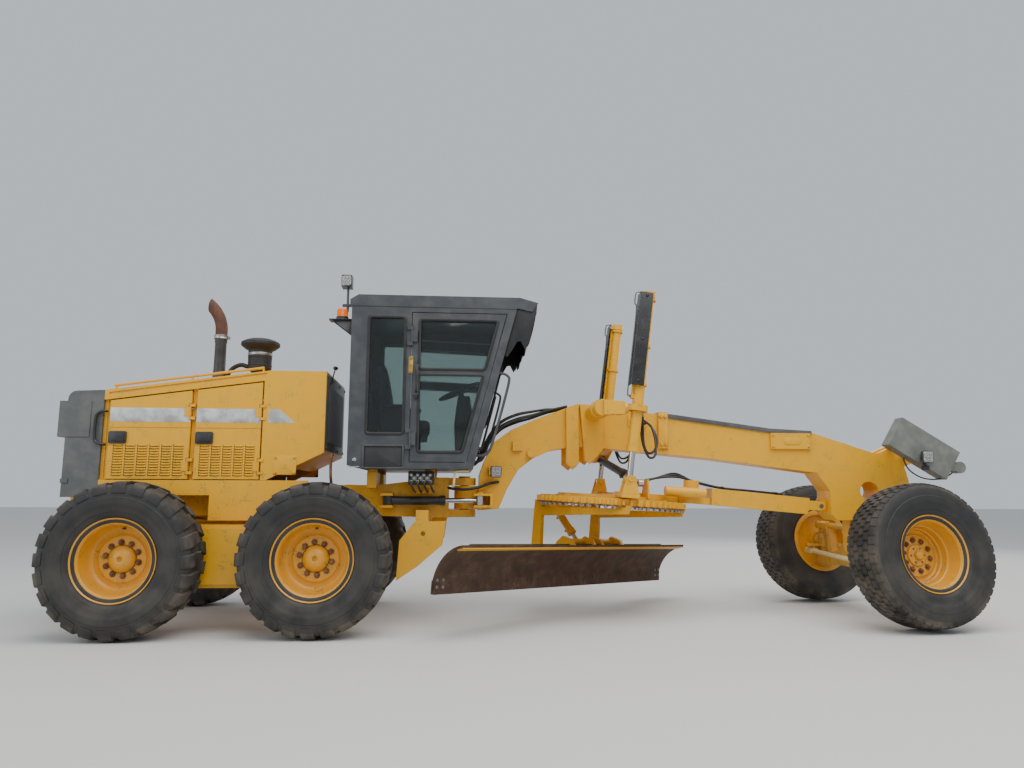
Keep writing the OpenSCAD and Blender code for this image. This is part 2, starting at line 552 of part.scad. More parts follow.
module cab_shell() place() color([0.2, 0.21, 0.22]) {
  difference() {
    outline([[cab_rear_x, cab_low_z + 30], [cab_rear_x + 120, cab_low_z], [cab_knee_x, cab_low_z],
      [cab_front(roof_low_z), roof_low_z], [cab_rear_x, roof_low_z]], cab_w);
    // Room inside
    outline([[cab_rear_x + cab_wall, cab_low_z + 50], [cab_front(cab_low_z + 50) - cab_wall, cab_low_z + 50],
      [cab_front(roof_low_z + 2) - cab_wall, roof_low_z + 2], [cab_rear_x + cab_wall, roof_low_z + 2]],
      cab_w - 2 * cab_wall);
    // Door openings
    both_sides() outline(slanted(cab_door_x, sill_z, roof_low_z - 60, 80), 3 * cab_wall, cab_out);
    // Side windows behind the doors
    both_sides() outline([[cab_rear_x + 170, 1810], [cab_post_x - 40, 1810], [cab_post_x - 40, roof_low_z - 110],
      [cab_rear_x + 170, roof_low_z - 110]], 3 * cab_wall, cab_out);
    // Rear window and windscreen, an upper and a lower pane
    block([cab_rear_x - 20, -cab_out + 130, 2350], [cab_rear_x + 2 * cab_wall, cab_out - 130, roof_low_z - 110]);
    outline(slanted(cab_knee_x - 60, 1640, 2400, -30), cab_w - 260);
    outline(slanted(cab_knee_x + 100, 2450, roof_low_z - 110, -30), cab_w - 200);
  }
  // Roof with its brow over the windscreen
  difference() {
    outline([[cab_rear_x - 20, roof_low_z], [cab_front(roof_low_z) + 10, roof_low_z],
      [cab_front_x + 150, roof_low_z - 30], [cab_front_x + 210, roof_low_z + 60], [cab_front_x + 30, cab_top_z],
      [cab_rear_x + 60, cab_top_z], [cab_rear_x - 20, roof_low_z + 60]], cab_w - 20);
    outline([[cab_front(roof_low_z) + 30, roof_low_z - 60], [cab_front_x + 180, roof_low_z - 60],
      [cab_front_x + 190, roof_low_z + 30], [cab_front_x + 30, roof_low_z + 60]], cab_w - 60);
  }
  // Hinges of the doors, each a pin between two ears
  both_sides() for (z = cab_hinge_z) {
    bar_z([cab_door_x + door_gap, cab_hinge_y, z], 6, 190);
    for (e = [-1, 1]) {
      bar_z([cab_door_x + door_gap, cab_hinge_y, z + e * 78], 11, 34);
      block([cab_door_x - 40, cab_out - 2, z + e * 78 - 17], [cab_door_x + door_gap, cab_hinge_y + 4, z + e * 78 + 17]);
    }
  }
  // Work lamp and beacon at the rear of the roof
  both_sides() {
    bar_z([cab_rear_x - 60, cab_out - 130, cab_top_z - 20], 12, 260);
    block([cab_rear_x - 110, cab_out - 145, cab_top_z - 100], [cab_rear_x + 30, cab_out - 115, cab_top_z - 76]);
    block([cab_rear_x - 120, cab_out - 190, cab_top_z + 90], [cab_rear_x - 20, cab_out - 70, cab_top_z + 210]);
  }
}

module cab_glass() place() color([0.5, 0.6, 0.65, 0.5]) {
  // Fixed panes, each seated in its opening
  e = seat;
  both_sides() outline([[cab_rear_x + 170 + e, 1810 + e], [cab_post_x - 40 - e, 1810 + e],
    [cab_post_x - 40 - e, roof_low_z - 110 - e], [cab_rear_x + 170 + e, roof_low_z - 110 - e]], 8, cab_out - 20);
  block([cab_rear_x + 16, -cab_out + 130 + e, 2350 + e], [cab_rear_x + 24, cab_out - 130 - e, roof_low_z - 110 - e]);
  for (pane = [[1640 + e, 2400 - e, 260 + 2 * e], [2450 + e, roof_low_z - 110 - e, 200 + 2 * e]])
    outline([[cab_front(pane[0]) - 30, pane[0]], [cab_front(pane[0]) - 22, pane[0]],
      [cab_front(pane[1]) - 22, pane[1]], [cab_front(pane[1]) - 30, pane[1]]], cab_w - pane[2]);
}

module cab_inside() place() color([0.15, 0.15, 0.16]) {
  z = cab_low_z + 50 + seat;
  // Seat on its pillar
  block([cab_rear_x + 330, -190, z], [cab_rear_x + 600, 190, z + 350]);
  outline([[cab_rear_x + 270, z + 330], [cab_rear_x + 770, z + 350], [cab_rear_x + 780, z + 450],
    [cab_rear_x + 380, z + 440], [cab_rear_x + 300, z + 1000], [cab_rear_x + 190, z + 990], [cab_rear_x + 260, z + 400]], 480);
  // Steering console with its wheel, and the side consoles
  outline([[cab_rear_x + 980, z], [cab_rear_x + 1110, z], [cab_rear_x + 1130, z + 700], [cab_rear_x + 1030, z + 700]], 220);
  translate([cab_rear_x + 1040, 0, z + 760]) rotate([0, -25, 0]) {
    rotate_extrude() translate([190, 0]) circle(14, $fn = 24);
    bar_x([0, 0, 0], 12, 380);
    bar_z([0, 0, -90], 22, 190);
  }
  both_sides() block([cab_rear_x + 250, 300, z], [cab_rear_x + 700, 460, z + 560]);
}

module cab_door(s) place() color([0.2, 0.21, 0.22]) on_side(s) {
  z0 = sill_z + door_gap;
  z1 = roof_low_z - 60 - door_gap;
  difference() {
    translate([door_gap, 0, 0]) outline(slanted(cab_door_x, z0, z1, 80 + 2 * door_gap), cab_wall - 10, cab_out - cab_wall / 2 + 2);
    translate([0, cab_out, 0]) rotate([90, 0, 0]) linear_extrude(3 * cab_wall, center = true) {
      polygon(slanted(cab_door_x + 80, 1640, 2385, 150));
      polygon(slanted(cab_door_x + 80, 2440, roof_low_z - 130, 150));
    }
  }
  // Handle bar, and the hinges' leaves on the rear edge
  block([cab_door_x + 26, cab_out - 5, 2180], [cab_door_x + 76, cab_out + 20, 2480]);
  for (z = cab_hinge_z) difference() {
    union() {
      bar_z([cab_door_x + door_gap, cab_hinge_y, z], 11, 118);
      block([cab_door_x + door_gap, cab_out - 5, z - 59], [cab_door_x + 60, cab_hinge_y + 4, z + 59]);
    }
    bar_z([cab_door_x + door_gap, cab_hinge_y, z], 6 + run, 130);
  }
}

// Front frame

// Stations on the nose are counted back or forward from the front axle
ball_at = [wheelbase - 470, 0, 1130];
ball_r = 58;
nose_low_z = 980;
axle_z = 640;
lug_low_z = hinge_low_z + ear_h + 6;
lug_top_z = hinge_top_z - ear_h - 6;
// Trunnion of the right lift cylinder and the eye of its rod
lift_at = [3820, -lift_y, 2080];
lift_eye = [3730, -lift_y, 1390];
lift_arm = [3480, 2085];
// Pins of the swing cylinder
swing_from = [3660, 430, 1640];
swing_to = [3900, -470, 1360];
swing_pin = 20;
// Bearing of the swing cylinder in plan
swing_way = atan2(swing_to[1] - swing_from[1], swing_to[0] - swing_from[0]);
// The frame's outline from the articulation to the nose, along the belly and back along the top
frame_edge = [[2290, 1080], [2500, 1095], [2590, 1300], [2700, 1490], [2850, 1610], [3050, 1700], [3300, 1740],
  [3770, 1710], [4780, 1620], [wheelbase - 530, 1480], [wheelbase - 378, 1270], [wheelbase - 394, 1050],
  [wheelbase - 330, nose_low_z],
  [wheelbase + 300, nose_low_z], [wheelbase + 470, 1120], [wheelbase + 490, 1400], [wheelbase + 440, 1590],
  [wheelbase - 580, 1915], [wheelbase - 1030, 1935], [4220, 2085], [3300, 2180], [2880, 2020], [2630, 1910], [2450, 1780], [2350, 1580],
  [2300, 1440]];

module front_frame() place() color("gold") difference() {
  union() {
    outline(frame_edge, beam_w);
    // Lug between the ears of the rear frame
    bar_z([hinge_x, 0, (lug_low_z + lug_top_z) / 2], ear_r - 12, lug_top_z - lug_low_z);
    block([hinge_x, -ear_r + 12, lug_low_z], [2320, ear_r - 12, lug_top_z]);
    // Wings for the articulation cylinders
    for (s = [-1, 1]) on_side(s) {
      for (e = [-1, 1]) block([2240, beam_w / 2 - 10, hinge_cyl_to[2] + e * 58 - 12], [2430, -hinge_cyl_to[1] + 45, hinge_cyl_to[2] + e * 58 + 12]);
      block([2404, beam_w / 2 - 10, hinge_cyl_to[2] - 70], [2430, -hinge_cyl_to[1] + 45, hinge_cyl_to[2] + 70]);
      // Heads of the pin outside the two wings: the rod's eye stands open between them
      for (e = [-1, 1]) bar_z([hinge_cyl_to[0], -hinge_cyl_to[1], hinge_cyl_to[2] + e * 76], hinge_cyl_pin + 8, 14);
    }
    // Dark strip on top of the beam
    outline([[4250, 2075], [wheelbase - 1030, 1928], [wheelbase - 580, 1908], [wheelbase - 580, 1922],
      [wheelbase - 1030, 1945], [4250, 2096]], beam_w + 24);
    // Saddle that carries the lift cylinders: ribs, cross bar and the arms' heads
    both_sides() {
      outline([[3200, 1560], [3270, 1500], [3330, 1560], [3330, 2190], [3200, 2140]], 60, beam_w / 2 + 24);
      outline([[3390, 1600], [3450, 1560], [3580, 1700], [3600, 2170], [3345, 2182]], 60, beam_w / 2 + 24);
      bar_y([lift_arm[0], (beam_w / 2 + lift_y) / 2, lift_arm[1]], 82, lift_y - beam_w / 2 + 60);
      bar_y([lift_arm[0], lift_y - 170, lift_arm[1]], 96, 60);
      outline([[lift_arm[0], lift_arm[1] - 75], [lift_at[0] - 135, lift_at[2] - 60], [lift_at[0] - 135, lift_at[2] + 60],
        [lift_arm[0], lift_arm[1] + 75]], 130, lift_y);
      bar_x([lift_at[0] - 130, lift_y, lift_at[2]], 60, 36);
      bar_x([lift_at[0] - 115, lift_y, lift_at[2]], 22, 60);
    }
    // Bracket of the swing cylinder
    translate(swing_from) rotate([0, 0, swing_way]) {
      for (e = [-1, 1]) outline([[-50, -45], [40, -50], [220, 90], [300, 140], [300, 250], [220, 240], [-45, 50]], 20, e * 62);
      bar_y([0, 0, 0], swing_pin, 150);
    }
    // Socket of the drawbar's ball, below the belly
    block([ball_at[0] + 14, -46, ball_at[2] - 80], [ball_at[0] + 120, 46, ball_at[2] + 80]);
    block([ball_at[0] + 76, -beam_w / 2, nose_low_z + 60], [ball_at[0] + 150, beam_w / 2, 1300]);
    // Bosses of the axle's pin, front and rear, and the lamp bracket on the gooseneck
    for (x = [wheelbase - 165, wheelbase + 105]) {
      block([x, -72, axle_z + 60], [x + 60, 72, nose_low_z + 10]);
      bar_x([x + 30, 0, axle_z + 60], 72, 60);
    }
    bar_x([wheelbase, 0, axle_z + 60], 50, 360);
    block([2390, -beam_w / 2 - 90, 1480], [2410, -beam_w / 2 + 40, 1520]);
    bar_x([2430, -beam_w / 2 - 60, 1470], 55, 70);
    block([2640, -beam_w / 2 - 40, 1690], [2740, -beam_w / 2 + 10, 1790]);
    bar_y([2830, -beam_w / 2 - 30, 1660], 40, 70);
    // Guide bracket on the beam's side
    block([wheelbase - 1030, -beam_w / 2 - 30, 1730], [wheelbase - 590, -beam_w / 2 + 10, 1900]);
    block([4180, -beam_w / 2 - 26, 1720], [4290, beam_w / 2 + 26, 2110]);
    // Lugs at the nose and the pin through them
    both_sides() translate([0, 70, 0]) outline([[wheelbase + 440, 1110], [wheelbase + 560, 1160], [wheelbase + 590, 1210],
      [wheelbase + 560, 1260], [wheelbase + 440, 1310]], 50);
    bar_y([wheelbase + 535, 0, 1210], nose_pin_d / 2, 220);
    // Brackets on the nose, and the two bars that carry the slab beside it
    both_sides() outline([[wheelbase + 190, 1640], [wheelbase + 430, 1540], [wheelbase + 560, 1590], [wheelbase + 560, 1750],
      [wheelbase + 500, 1800], [wheelbase + 430, 1800], [wheelbase + 190, 1700]], 40, 100);
    for (d = [-70, 70]) bar_y([slab_at[0] + d, -(slab_in_y - seat + 90) / 2, slab_at[2] - 0.6 * d], 34, slab_in_y - seat - 90);
  }
  bar_z([hinge_x, 0, 1200], hinge_pin_d / 2 + run, 400);
  translate(ball_at) sphere(r = ball_r + run);
  bar_x([ball_at[0] + 20, 0, ball_at[2]], 25, 90);
  // Round opening through the nose
  bar_y([wheelbase + 40, 0, 1290], 100, beam_w + 100);
}

// Slab that hangs beside the nose, ahead of the right wheel, seen as a tilted box
slab_at = [wheelbase + 390, 0, 1720];
slab_tilt = 31;
slab_in_y = 480;
slab_out_y = 620;
module front_slab() place() color([0.5, 0.52, 0.5]) {
  translate(slab_at) rotate([0, slab_tilt, 0]) block([-342, -slab_out_y, -162], [342, -slab_in_y, 162]);
  // Cable box at its front end
  block([wheelbase + 640, -slab_out_y + 20, 1492], [wheelbase + 772, -slab_in_y - 20, 1568]);
  bar_y([wheelbase + 770, -(slab_in_y + slab_out_y) / 2, 1530], 60, 100);
}

// Front axle with leaning wheels. The axle rolls a little as parked, so that both leaned wheels stand.
lean_pin_z = 470;
king_low_z = 590;
king_top_z = 760;
lean_bar_z = 855;
arm_z = 560;
spindle_z = wheel_z;
hub_reach = wheel_y - king_y;
axle_roll = asin(hub_reach * sin(lean_rest) / king_y);
// Lowest tread point below a leaned wheel's middle, at the edge of the tread
lean_drop = (tyre_r - 5) * cos(lean_rest) + (tyre_w / 2 - 60) * sin(lean_rest);
// Height of the axle's middle at which the leaned tyres touch the ground
pin_mid_z = lean_drop - (spindle_z - lean_pin_z) * cos(lean_rest);
yoke_lean = -lean_rest;

// Height of the frame's pin in the axle, and the shift that its roll gives the axle's middle
pivot_h = (axle_z + 60 - pin_mid_z) / cos(axle_roll);
axle_shift = pivot_h * sin(axle_roll);
// A point given in the axle's own frame, where the lean pins lie at Y = king_y and -king_y, Z = 0
function from_axle(p) = [wheelbase + p[0], axle_shift + p[1] * cos(axle_roll) - p[2] * sin(axle_roll),
  pin_mid_z + p[1] * sin(axle_roll) + p[2] * cos(axle_roll)];
module at_axle() translate(from_axle([0, 0, 0])) rotate([axle_roll, 0, 0]) children();
// A yoke's frame: its lean pin at the origin, leaned as parked
module at_yoke(s) translate(from_axle([0, s * king_y, 0])) rotate([yoke_lean, 0, 0]) children();
// A knuckle's frame: the same, steered as parked about the king pin
module at_knuckle(s) at_yoke(s) rotate([0, 0, steer_rest]) children();
// A front wheel: its middle outboard of the king pin
module at_front(s) at_knuckle(s) translate([0, s * hub_reach, spindle_z - lean_pin_z]) on_side(s) children();

yoke_pin_r = 30;
king_r = 32;
steer_anchor_y = 230;
steer_arm = 180;
steer_pin = 18;

module front_axle() place() color([0.75, 0.62, 0.1]) at_axle() difference() {
  union() {
    // Beam, deep in the middle, with forks for the yokes
    rotate([90, 0, 90]) linear_extrude(150, center = true) polygon([[-648, -60], [-300, -20], [300, -20], [648, -60],
      [648, 60], [380, 130], [180, 300], [-180, 300], [-380, 130], [-648, 60]]);
    both_sides() for (e = [-1, 1]) translate([e * 80, 0, 0]) {
      rotate([90, 0, 90]) linear_extrude(30, center = true) polygon([[560, -60], [king_y, -52], [king_y, 52], [560, 60]]);
      rotate([0, 90, 0]) translate([0, king_y, 0]) cylinder(r = 52, h = 30, center = true);
    }
    both_sides() rotate([0, 90, 0]) translate([0, king_y, 0]) cylinder(r = yoke_pin_r, h = 186, center = true);
    // Brackets of the steering cylinders
    both_sides() for (e = [-1, 1]) block([60, steer_anchor_y - 40, steer_cyl_z + e * 45 - 10],
      [steer_arm + 40, steer_anchor_y + 40, steer_cyl_z + e * 45 + 10]);
    both_sides() bar_z([steer_arm, steer_anchor_y, steer_cyl_z], steer_pin, 110);
  }
  // Bore of the frame's pin
  bar_x([0, 0, pivot_h], 50 + run, 300);
}

module yoke(s) place() color([0.75, 0.62, 0.1]) at_yoke(s) difference() {
  union() {
    bar_x([0, 0, 0], 58, 120);
    on_side(s) {
      block([-20, -112, -30], [20, -66, lean_bar_z - lean_pin_z - 20]);
      block([-20, -80, -30], [20, -30, 44]);
      for (z = [king_low_z - lean_pin_z - 44, king_top_z - lean_pin_z + 4]) {
        block([-20, -80, z], [20, 0, z + 40]);
        bar_z([0, 0, z + 20], 50, 40);
      }
    }
    bar_x([0, 0, lean_bar_z - lean_pin_z], 44, 70);
    on_side(s) block([-20, -112, king_top_z - lean_pin_z + 30], [20, 20, lean_bar_z - lean_pin_z]);
    bar_z([0, 0, (king_low_z + king_top_z) / 2 - lean_pin_z], king_r, king_top_z - king_low_z + 80);
  }
  bar_x([0, 0, 0], yoke_pin_r + run, 200);
  bar_x([0, 0, lean_bar_z - lean_pin_z], 22 + run, 200);
}

module knuckle(s) place() color([0.75, 0.62, 0.1]) at_knuckle(s) difference() {
  union() {
    bar_z([0, 0, (king_low_z + king_top_z) / 2 - lean_pin_z], king_r + 24, king_top_z - king_low_z - 8);
    on_side(s) translate([0, 0, spindle_z - lean_pin_z]) rotate([-90, 0, 0]) {
      translate([0, 0, 30]) cylinder(r = 78, h = 50);
      translate([0, 0, 40]) cylinder(r = spindle_r, h = hub_reach + front_plate_y - 40 + spindle_in - 6);
    }
    // Arm to the rear for the tie rod and to the front for the steering cylinder
    block([-knuckle_arm, -16, arm_z - lean_pin_z + 44], [steer_arm, 16, arm_z - lean_pin_z + 74]);
    bar_z([-knuckle_arm, 0, arm_z - lean_pin_z + 59], 36, 30);
    bar_z([steer_arm, 0, arm_z - lean_pin_z + 59], 34, 30);
    bar_z([-knuckle_arm, 0, arm_z - lean_pin_z + 20], 18, 60);
  }
  bar_z([0, 0, (king_low_z + king_top_z) / 2 - lean_pin_z], king_r + run, 400);
}

module lean_bar() place() color([0.75, 0.62, 0.1]) {
  // From the top pin of one yoke to that of the other
  top = (lean_bar_z - lean_pin_z);
  translate(from_axle([0, 0, 0]) + [0, -top * sin(yoke_lean), top * cos(yoke_lean)]) rotate([axle_roll, 0, 0]) {
    both_sides() for (e = [-1, 1]) translate([e * 56, 0, 0]) {
      bar_x([0, king_y, 0], 44, 26);
      block([-13, king_y - 180, -30], [13, king_y, 30]);
    }
    both_sides() block([-69, king_y - 210, -30], [69, king_y - 160, 30]);
    both_sides() bar_x([0, king_y, 0], 22, 150);
    bar_y([0, 0, 0], 34, 2 * king_y - 400);
  }
}

// The tie rod runs behind the axle, on the pins below the knuckles' arms
// A point of a knuckle's arm, r ahead of the king pin and h above the lean pin, as parked
function arm_point(s, r, h) = from_axle([0, s * king_y, 0])
  + [r * cos(steer_rest), r * sin(steer_rest) * cos(yoke_lean) - h * sin(yoke_lean),
     r * sin(steer_rest) * sin(yoke_lean) + h * cos(yoke_lean)];
arm_pin = [for (s = [-1, 1]) arm_point(s, -knuckle_arm, arm_z - lean_pin_z)];
module tie_rod_end() place() color([0.3, 0.3, 0.3]) translate(arm_pin[0]) rotate([yoke_lean, 0, 0]) difference() {
  union() {
    bar_z([0, 0, 0], 34, 36);
    bar_x([0, 0, 0], 16, 96);
  }
  bar_z([0, 0, 0], 18 + run, 100);
}
module tie_rod() place() color([0.9, 0.8, 0.4]) translate(arm_pin[0]) {
  d = arm_pin[1] - arm_pin[0];
  rotate([axle_roll, 0, 0]) difference() {
    union() {
      for (y = [0, norm(d)]) for (e = [-1, 1]) bar_x([e * 42, y, 0], 30, 12);
      for (e = [-1, 1]) {
        block([e * 42 - 6, 0, -24], [e * 42 + 6, 110, 24]);
        block([e * 42 - 6, norm(d) - 110, -24], [e * 42 + 6, norm(d), 24]);
      }
      for (y = [85, norm(d) - 110]) block([-48, y, -24], [48, y + 25, 24]);
      bar_y([0, norm(d) / 2, 0], tie_rod_d / 2, norm(d) - 180);
    }
    bar_x([0, 0, 0], 16 + run, 200);
    bar_x([0, norm(d), 0], 16 + run, 200);
  }
}

// Steering cylinders ahead of the axle, a little below the knuckles' front arms
steer_cyl_z = arm_z - lean_pin_z - 30;
function steer_from(s) = from_axle([steer_arm, s * steer_anchor_y, steer_cyl_z]);
function steer_to(s) = arm_point(s, steer_arm, steer_cyl_z);
module steer_barrel(s) place() color("gold") aim(steer_from(s), steer_to(s), 90) barrel(370, 66, steer_pin, 64);
module steer_rod(s) place() color("silver") aim(steer_from(s), steer_to(s), 90)
  rod(gap(steer_from(s), steer_to(s)), 330, 66, 16, 40);

// Drawbar, circle and blade. The drawbar's frame has the ball at its origin and is pitched as parked.
// The ring hangs this much above the ball, however long the drawbar is
ring_rise = 138.225;
drawbar_pitch = atan2(ring_rise, ball_at[0] - circle_x);
ring_z = -100;
ring_x = (circle_x - ball_at[0]) / cos(drawbar_pitch);
ring_r = circle_d / 2;
ear_y = 78;
module at_drawbar() translate(ball_at) rotate([0, drawbar_pitch, 0]) children();
// The circle's frame: its middle at the origin, X where the blade faces
module at_circle() at_drawbar() translate([ring_x, 0, ring_z]) rotate([0, 0, -circle_turn]) children();
function from_drawbar(p) = ball_at + [p[0] * cos(drawbar_pitch) + p[2] * sin(drawbar_pitch), p[1],
  -p[0] * sin(drawbar_pitch) + p[2] * cos(drawbar_pitch)];
function to_drawbar(p) = let (d = p - ball_at) [d[0] * cos(drawbar_pitch) - d[2] * sin(drawbar_pitch), d[1],
  d[0] * sin(drawbar_pitch) + d[2] * cos(drawbar_pitch)];
function from_circle(p) = from_drawbar([ring_x + p[0] * cos(circle_turn) + p[1] * sin(circle_turn),
  -p[0] * sin(circle_turn) + p[1] * cos(circle_turn), ring_z + p[2]]);
lift_seat = to_drawbar(lift_eye);
swing_seat = to_drawbar(swing_to);
plate_z = ring_z + circle_h / 2 + 0.5;
drive_at = [ring_x + ring_r + 40, -150];

module drawbar_ball() place() color([0.3, 0.3, 0.3]) translate(ball_at) {
  sphere(r = ball_r);
  bar_y([0, 0, 0], 22, 2 * ear_y + 40);
}

module drawbar() place() color("gold") at_drawbar() difference() {
  union() {
    // Beam with its two ears at the ball
    both_sides() {
      outline([[-250, -50], [0, -50], [0, 50], [-250, 50]], 26, ear_y);
      bar_y([0, ear_y, 0], 50, 26);
    }
    outline([[-1200, plate_z], [-150, -95], [-130, 75], [-1200, 110]], 190);
    block([-260, -ear_y - 13, -60], [-130, ear_y + 13, 60]);
    // Legs that spread from the beam to the circle's plate
    both_sides() translate([0, 0, plate_z]) linear_extrude(70) polygon([[-1180, 60], [-1500, 95], [ring_x - 60, 560],
      [ring_x - 60, 440], [-1480, -60]]);
    // Plate over the circle, its cross beam and the seats of the lift cylinders
    translate([ring_x, 0, plate_z]) cylinder(r = 560, h = 30);
    block([lift_seat[0] - 90, -lift_y - 84, plate_z + 10], [lift_seat[0] + 90, lift_y + 84, lift_seat[2] - 140]);
    // Their ears leave room for the eye's way along the machine as the drawbar swings
    both_sides() for (e = [-1, 1]) {
      outline([[lift_seat[0] - 90, plate_z + 20], [lift_seat[0] + 90, plate_z + 20], [lift_seat[0] + 40, lift_seat[2] + 36],
        [lift_seat[0] - 40, lift_seat[2] + 36]], 16, lift_y + e * 69);
      bar_y([lift_seat[0], lift_y + e * 81, lift_seat[2]], 26, 12);
    }
    // Seat of the swing cylinder
    translate([swing_seat[0], swing_seat[1], 0]) rotate([0, 0, swing_way])
      for (e = [-1, 1]) outline([[-70, plate_z + 20], [70, plate_z + 20], [40, swing_seat[2] + 40], [-40, swing_seat[2] + 40]], 20, e * 70);
    // Shoes that hold the ring on its inner face
    for (a = [30:60:330]) translate([ring_x, 0, ring_z - 20]) rotate(a) translate([ring_r - 196, 0, 0])
      cylinder(r = 45, h = circle_h);
    // Drive of the circle, with its pinion's housing and its motors
    translate([drive_at[0], drive_at[1], plate_z]) cylinder(r = 130, h = 150);
    translate([drive_at[0], drive_at[1], plate_z + 130]) cylinder(r = 80, h = 110);
    bar_x([drive_at[0] - 120, drive_at[1] - 190, plate_z + 110], 50, 420);
    block([drive_at[0] - 60, drive_at[1] - 200, plate_z + 80], [drive_at[0] + 40, drive_at[1], plate_z + 140]);
  }
  both_sides() bar_y([0, ear_y, 0], 22 + run, 60);
}

// Blade gear in the circle's frame. The blade's section is an arc about blade_c.
arm_y = 500;
pitch_pin = [-460, -edge_drop + 120];
pitch_pin_r = 30;
blade_c = [81, -edge_drop + 25];
blade_top_a = 101;
blade_low_a = 180;
rail_a = [122, 165];
rail_out = blade_r + blade_t + 52;
pitch_from = [-715, -130];
pitch_to = [-330, -edge_drop + 370];
blade_y = -blade_shift;

module circle_ring() place() color("gold") at_circle() {
  difference() {
    union() {
      translate([0, 0, -circle_h / 2]) cylinder(r = ring_r - 30, h = circle_h, $fn = 96);
      // Outer teeth
      translate([0, 0, -circle_h / 2 + 8]) linear_extrude(circle_h - 16)
        for (i = [0:circle_teeth - 1]) rotate(i * 360 / circle_teeth)
          polygon([[ring_r - 60, -26], [ring_r, -12], [ring_r, 12], [ring_r - 60, 26]]);
    }
    translate([0, 0, -circle_h]) cylinder(r = ring_r - 150, h = 2 * circle_h, $fn = 96);
  }
  // Arms down to the blade's pins, with their cross beams
  both_sides() {
    outline([[-600, -circle_h / 2 + 10], [-505, -circle_h / 2 + 10], [-490, pitch_pin[1]], [-460, pitch_pin[1] - 58],
      [-520, pitch_pin[1] - 50], [-620, -600]], 50, arm_y);
    bar_y([pitch_pin[0], arm_y, pitch_pin[1]], 58, 50);
    bar_y([pitch_pin[0], arm_y - 40, pitch_pin[1]], pitch_pin_r, 130);
    outline([[400, -circle_h / 2 + 10], [600, -circle_h / 2 + 10], [560, -110], [-540, -190], [-540, -circle_h / 2 - 60],
      [380, -circle_h / 2 - 30]], 50, arm_y);
  }
  block([-595, -arm_y, -150], [-520, arm_y, -60]);
  for (e = [-1, 1]) outline([[pitch_from[0] - 45, -circle_h / 2 + 10], [pitch_from[0] + 45, -circle_h / 2 + 10],
    [pitch_from[0] + 45, pitch_from[1] - 35], [pitch_from[0] - 45, pitch_from[1] - 35]], 22, e * 58);
  bar_y([pitch_from[0], 0, pitch_from[1]], 22, 120);
}

// Radial bar of the blade's back at angle a, from radius r0 to r1 and 2 * t wide
module back_bar(a, r0, r1, t, w, y) translate([blade_c[0], y, blade_c[1]]) rotate([90, 0, 0])
  linear_extrude(w, center = true) rotate(a) translate([r0, -t]) square([r1 - r0, 2 * t]);

module blade_bracket() place() color("gold") at_circle() difference() {
  union() {
    for (y = [[-430, 50], [-72, 24], [72, 24], [430, 50]])
      outline(concat(arc(blade_c, blade_r + blade_t + 6, 114, 171, 8), [[-420, pitch_pin[1] - 60],
        [-500, pitch_pin[1] - 40], [-515, pitch_pin[1] + 30], [-430, -600], [-330, -440], [-260, -380], [-150, -410]]),
        y[1], y[0]);
    both_sides() bar_y([-270, 256, -440], 34, 388);
    bar_y([pitch_pin[0], 0, pitch_pin[1]], 46, 2 * 405 + 60);
  }
  for (a = rail_a) back_bar(a, blade_r, rail_out + run, 20 + run, 1000, 0);
  bar_y([pitch_pin[0], 0, pitch_pin[1]], pitch_pin_r + run, 1000);
  // Room for the rod's eye
  block([pitch_to[0] - 60, -60, pitch_to[1] - 60], [pitch_to[0] + 60, 60, pitch_to[1] + 60]);
}

module blade() place() color([0.35, 0.22, 0.16]) at_circle() {
  outline(concat(arc(blade_c, blade_r, blade_top_a, blade_low_a, 12), arc(blade_c, blade_r + blade_t, blade_low_a, blade_top_a, 12)),
    blade_l, blade_y);
  for (a = rail_a) back_bar(a, blade_r + 5, rail_out, 20, blade_l - 500, blade_y);
  // Cutting edge and the bits on both ends
  block([blade_c[0] - blade_r - 1, blade_y - blade_l / 2 + 8, -edge_drop],
    [blade_c[0] - blade_r + 17, blade_y + blade_l / 2 - 8, -edge_drop + 150]);
  for (e = [-1, 1]) block([blade_c[0] - blade_r - blade_t, blade_y + e * (blade_l / 2 - 70) - 70, -edge_drop],
    [blade_c[0] - blade_r + 2, blade_y + e * (blade_l / 2 - 70) + 70, -edge_drop + 120]);
}

// Cylinders that hold the drawbar and the blade

lift_below = 430;
lift_above = 1180;
lift_ring_h = 60;
module at_lift(s) on_side(-s) aim(lift_eye, lift_at, 90) translate([0, 0, gap(lift_eye, lift_at)]) children();
module lift_ring(s) place() color("gold") on_side(-s) translate(lift_at) difference() {
  union() {
    rotate([0, 7.4, 0]) cylinder(r = 104, h = lift_ring_h, center = true);
    bar_x([-103, 0, 0], 50, 16);
  }
  rotate([0, 7.4, 0]) cylinder(r = lift_d / 2 + 16, h = 200, center = true);
  bar_x([-110, 0, 0], 22 + run, 90);
  bar_y([0, 0, 0], 20 + run, 400);
}
module lift_barrel(s) place() color([0.15, 0.15, 0.15]) at_lift(s) difference() {
  union() {
    translate([0, 0, -lift_below]) cylinder(d = lift_d, h = lift_below + lift_above);
    translate([0, 0, -lift_below]) cylinder(d = lift_d + 16, h = 60);
    translate([0, 0, lift_above - 60]) cylinder(d = lift_d + 16, h = 60);
    bar_x([0, 0, 0], 20, 200);
    translate([0, lift_d / 2 + 8, 110]) cylinder(r = 14, h = lift_above - 150);
    block([-30, lift_d / 2 - 8, lift_above - 60], [30, lift_d / 2 + 24, lift_above - 10]);
    block([-30, lift_d / 2 - 8, 90], [30, lift_d / 2 + 24, 130]);
  }
  translate([0, 0, -lift_below - 10]) cylinder(d = lift_d * rod_share + 2 * run, h = lift_below + lift_above - 60);
}
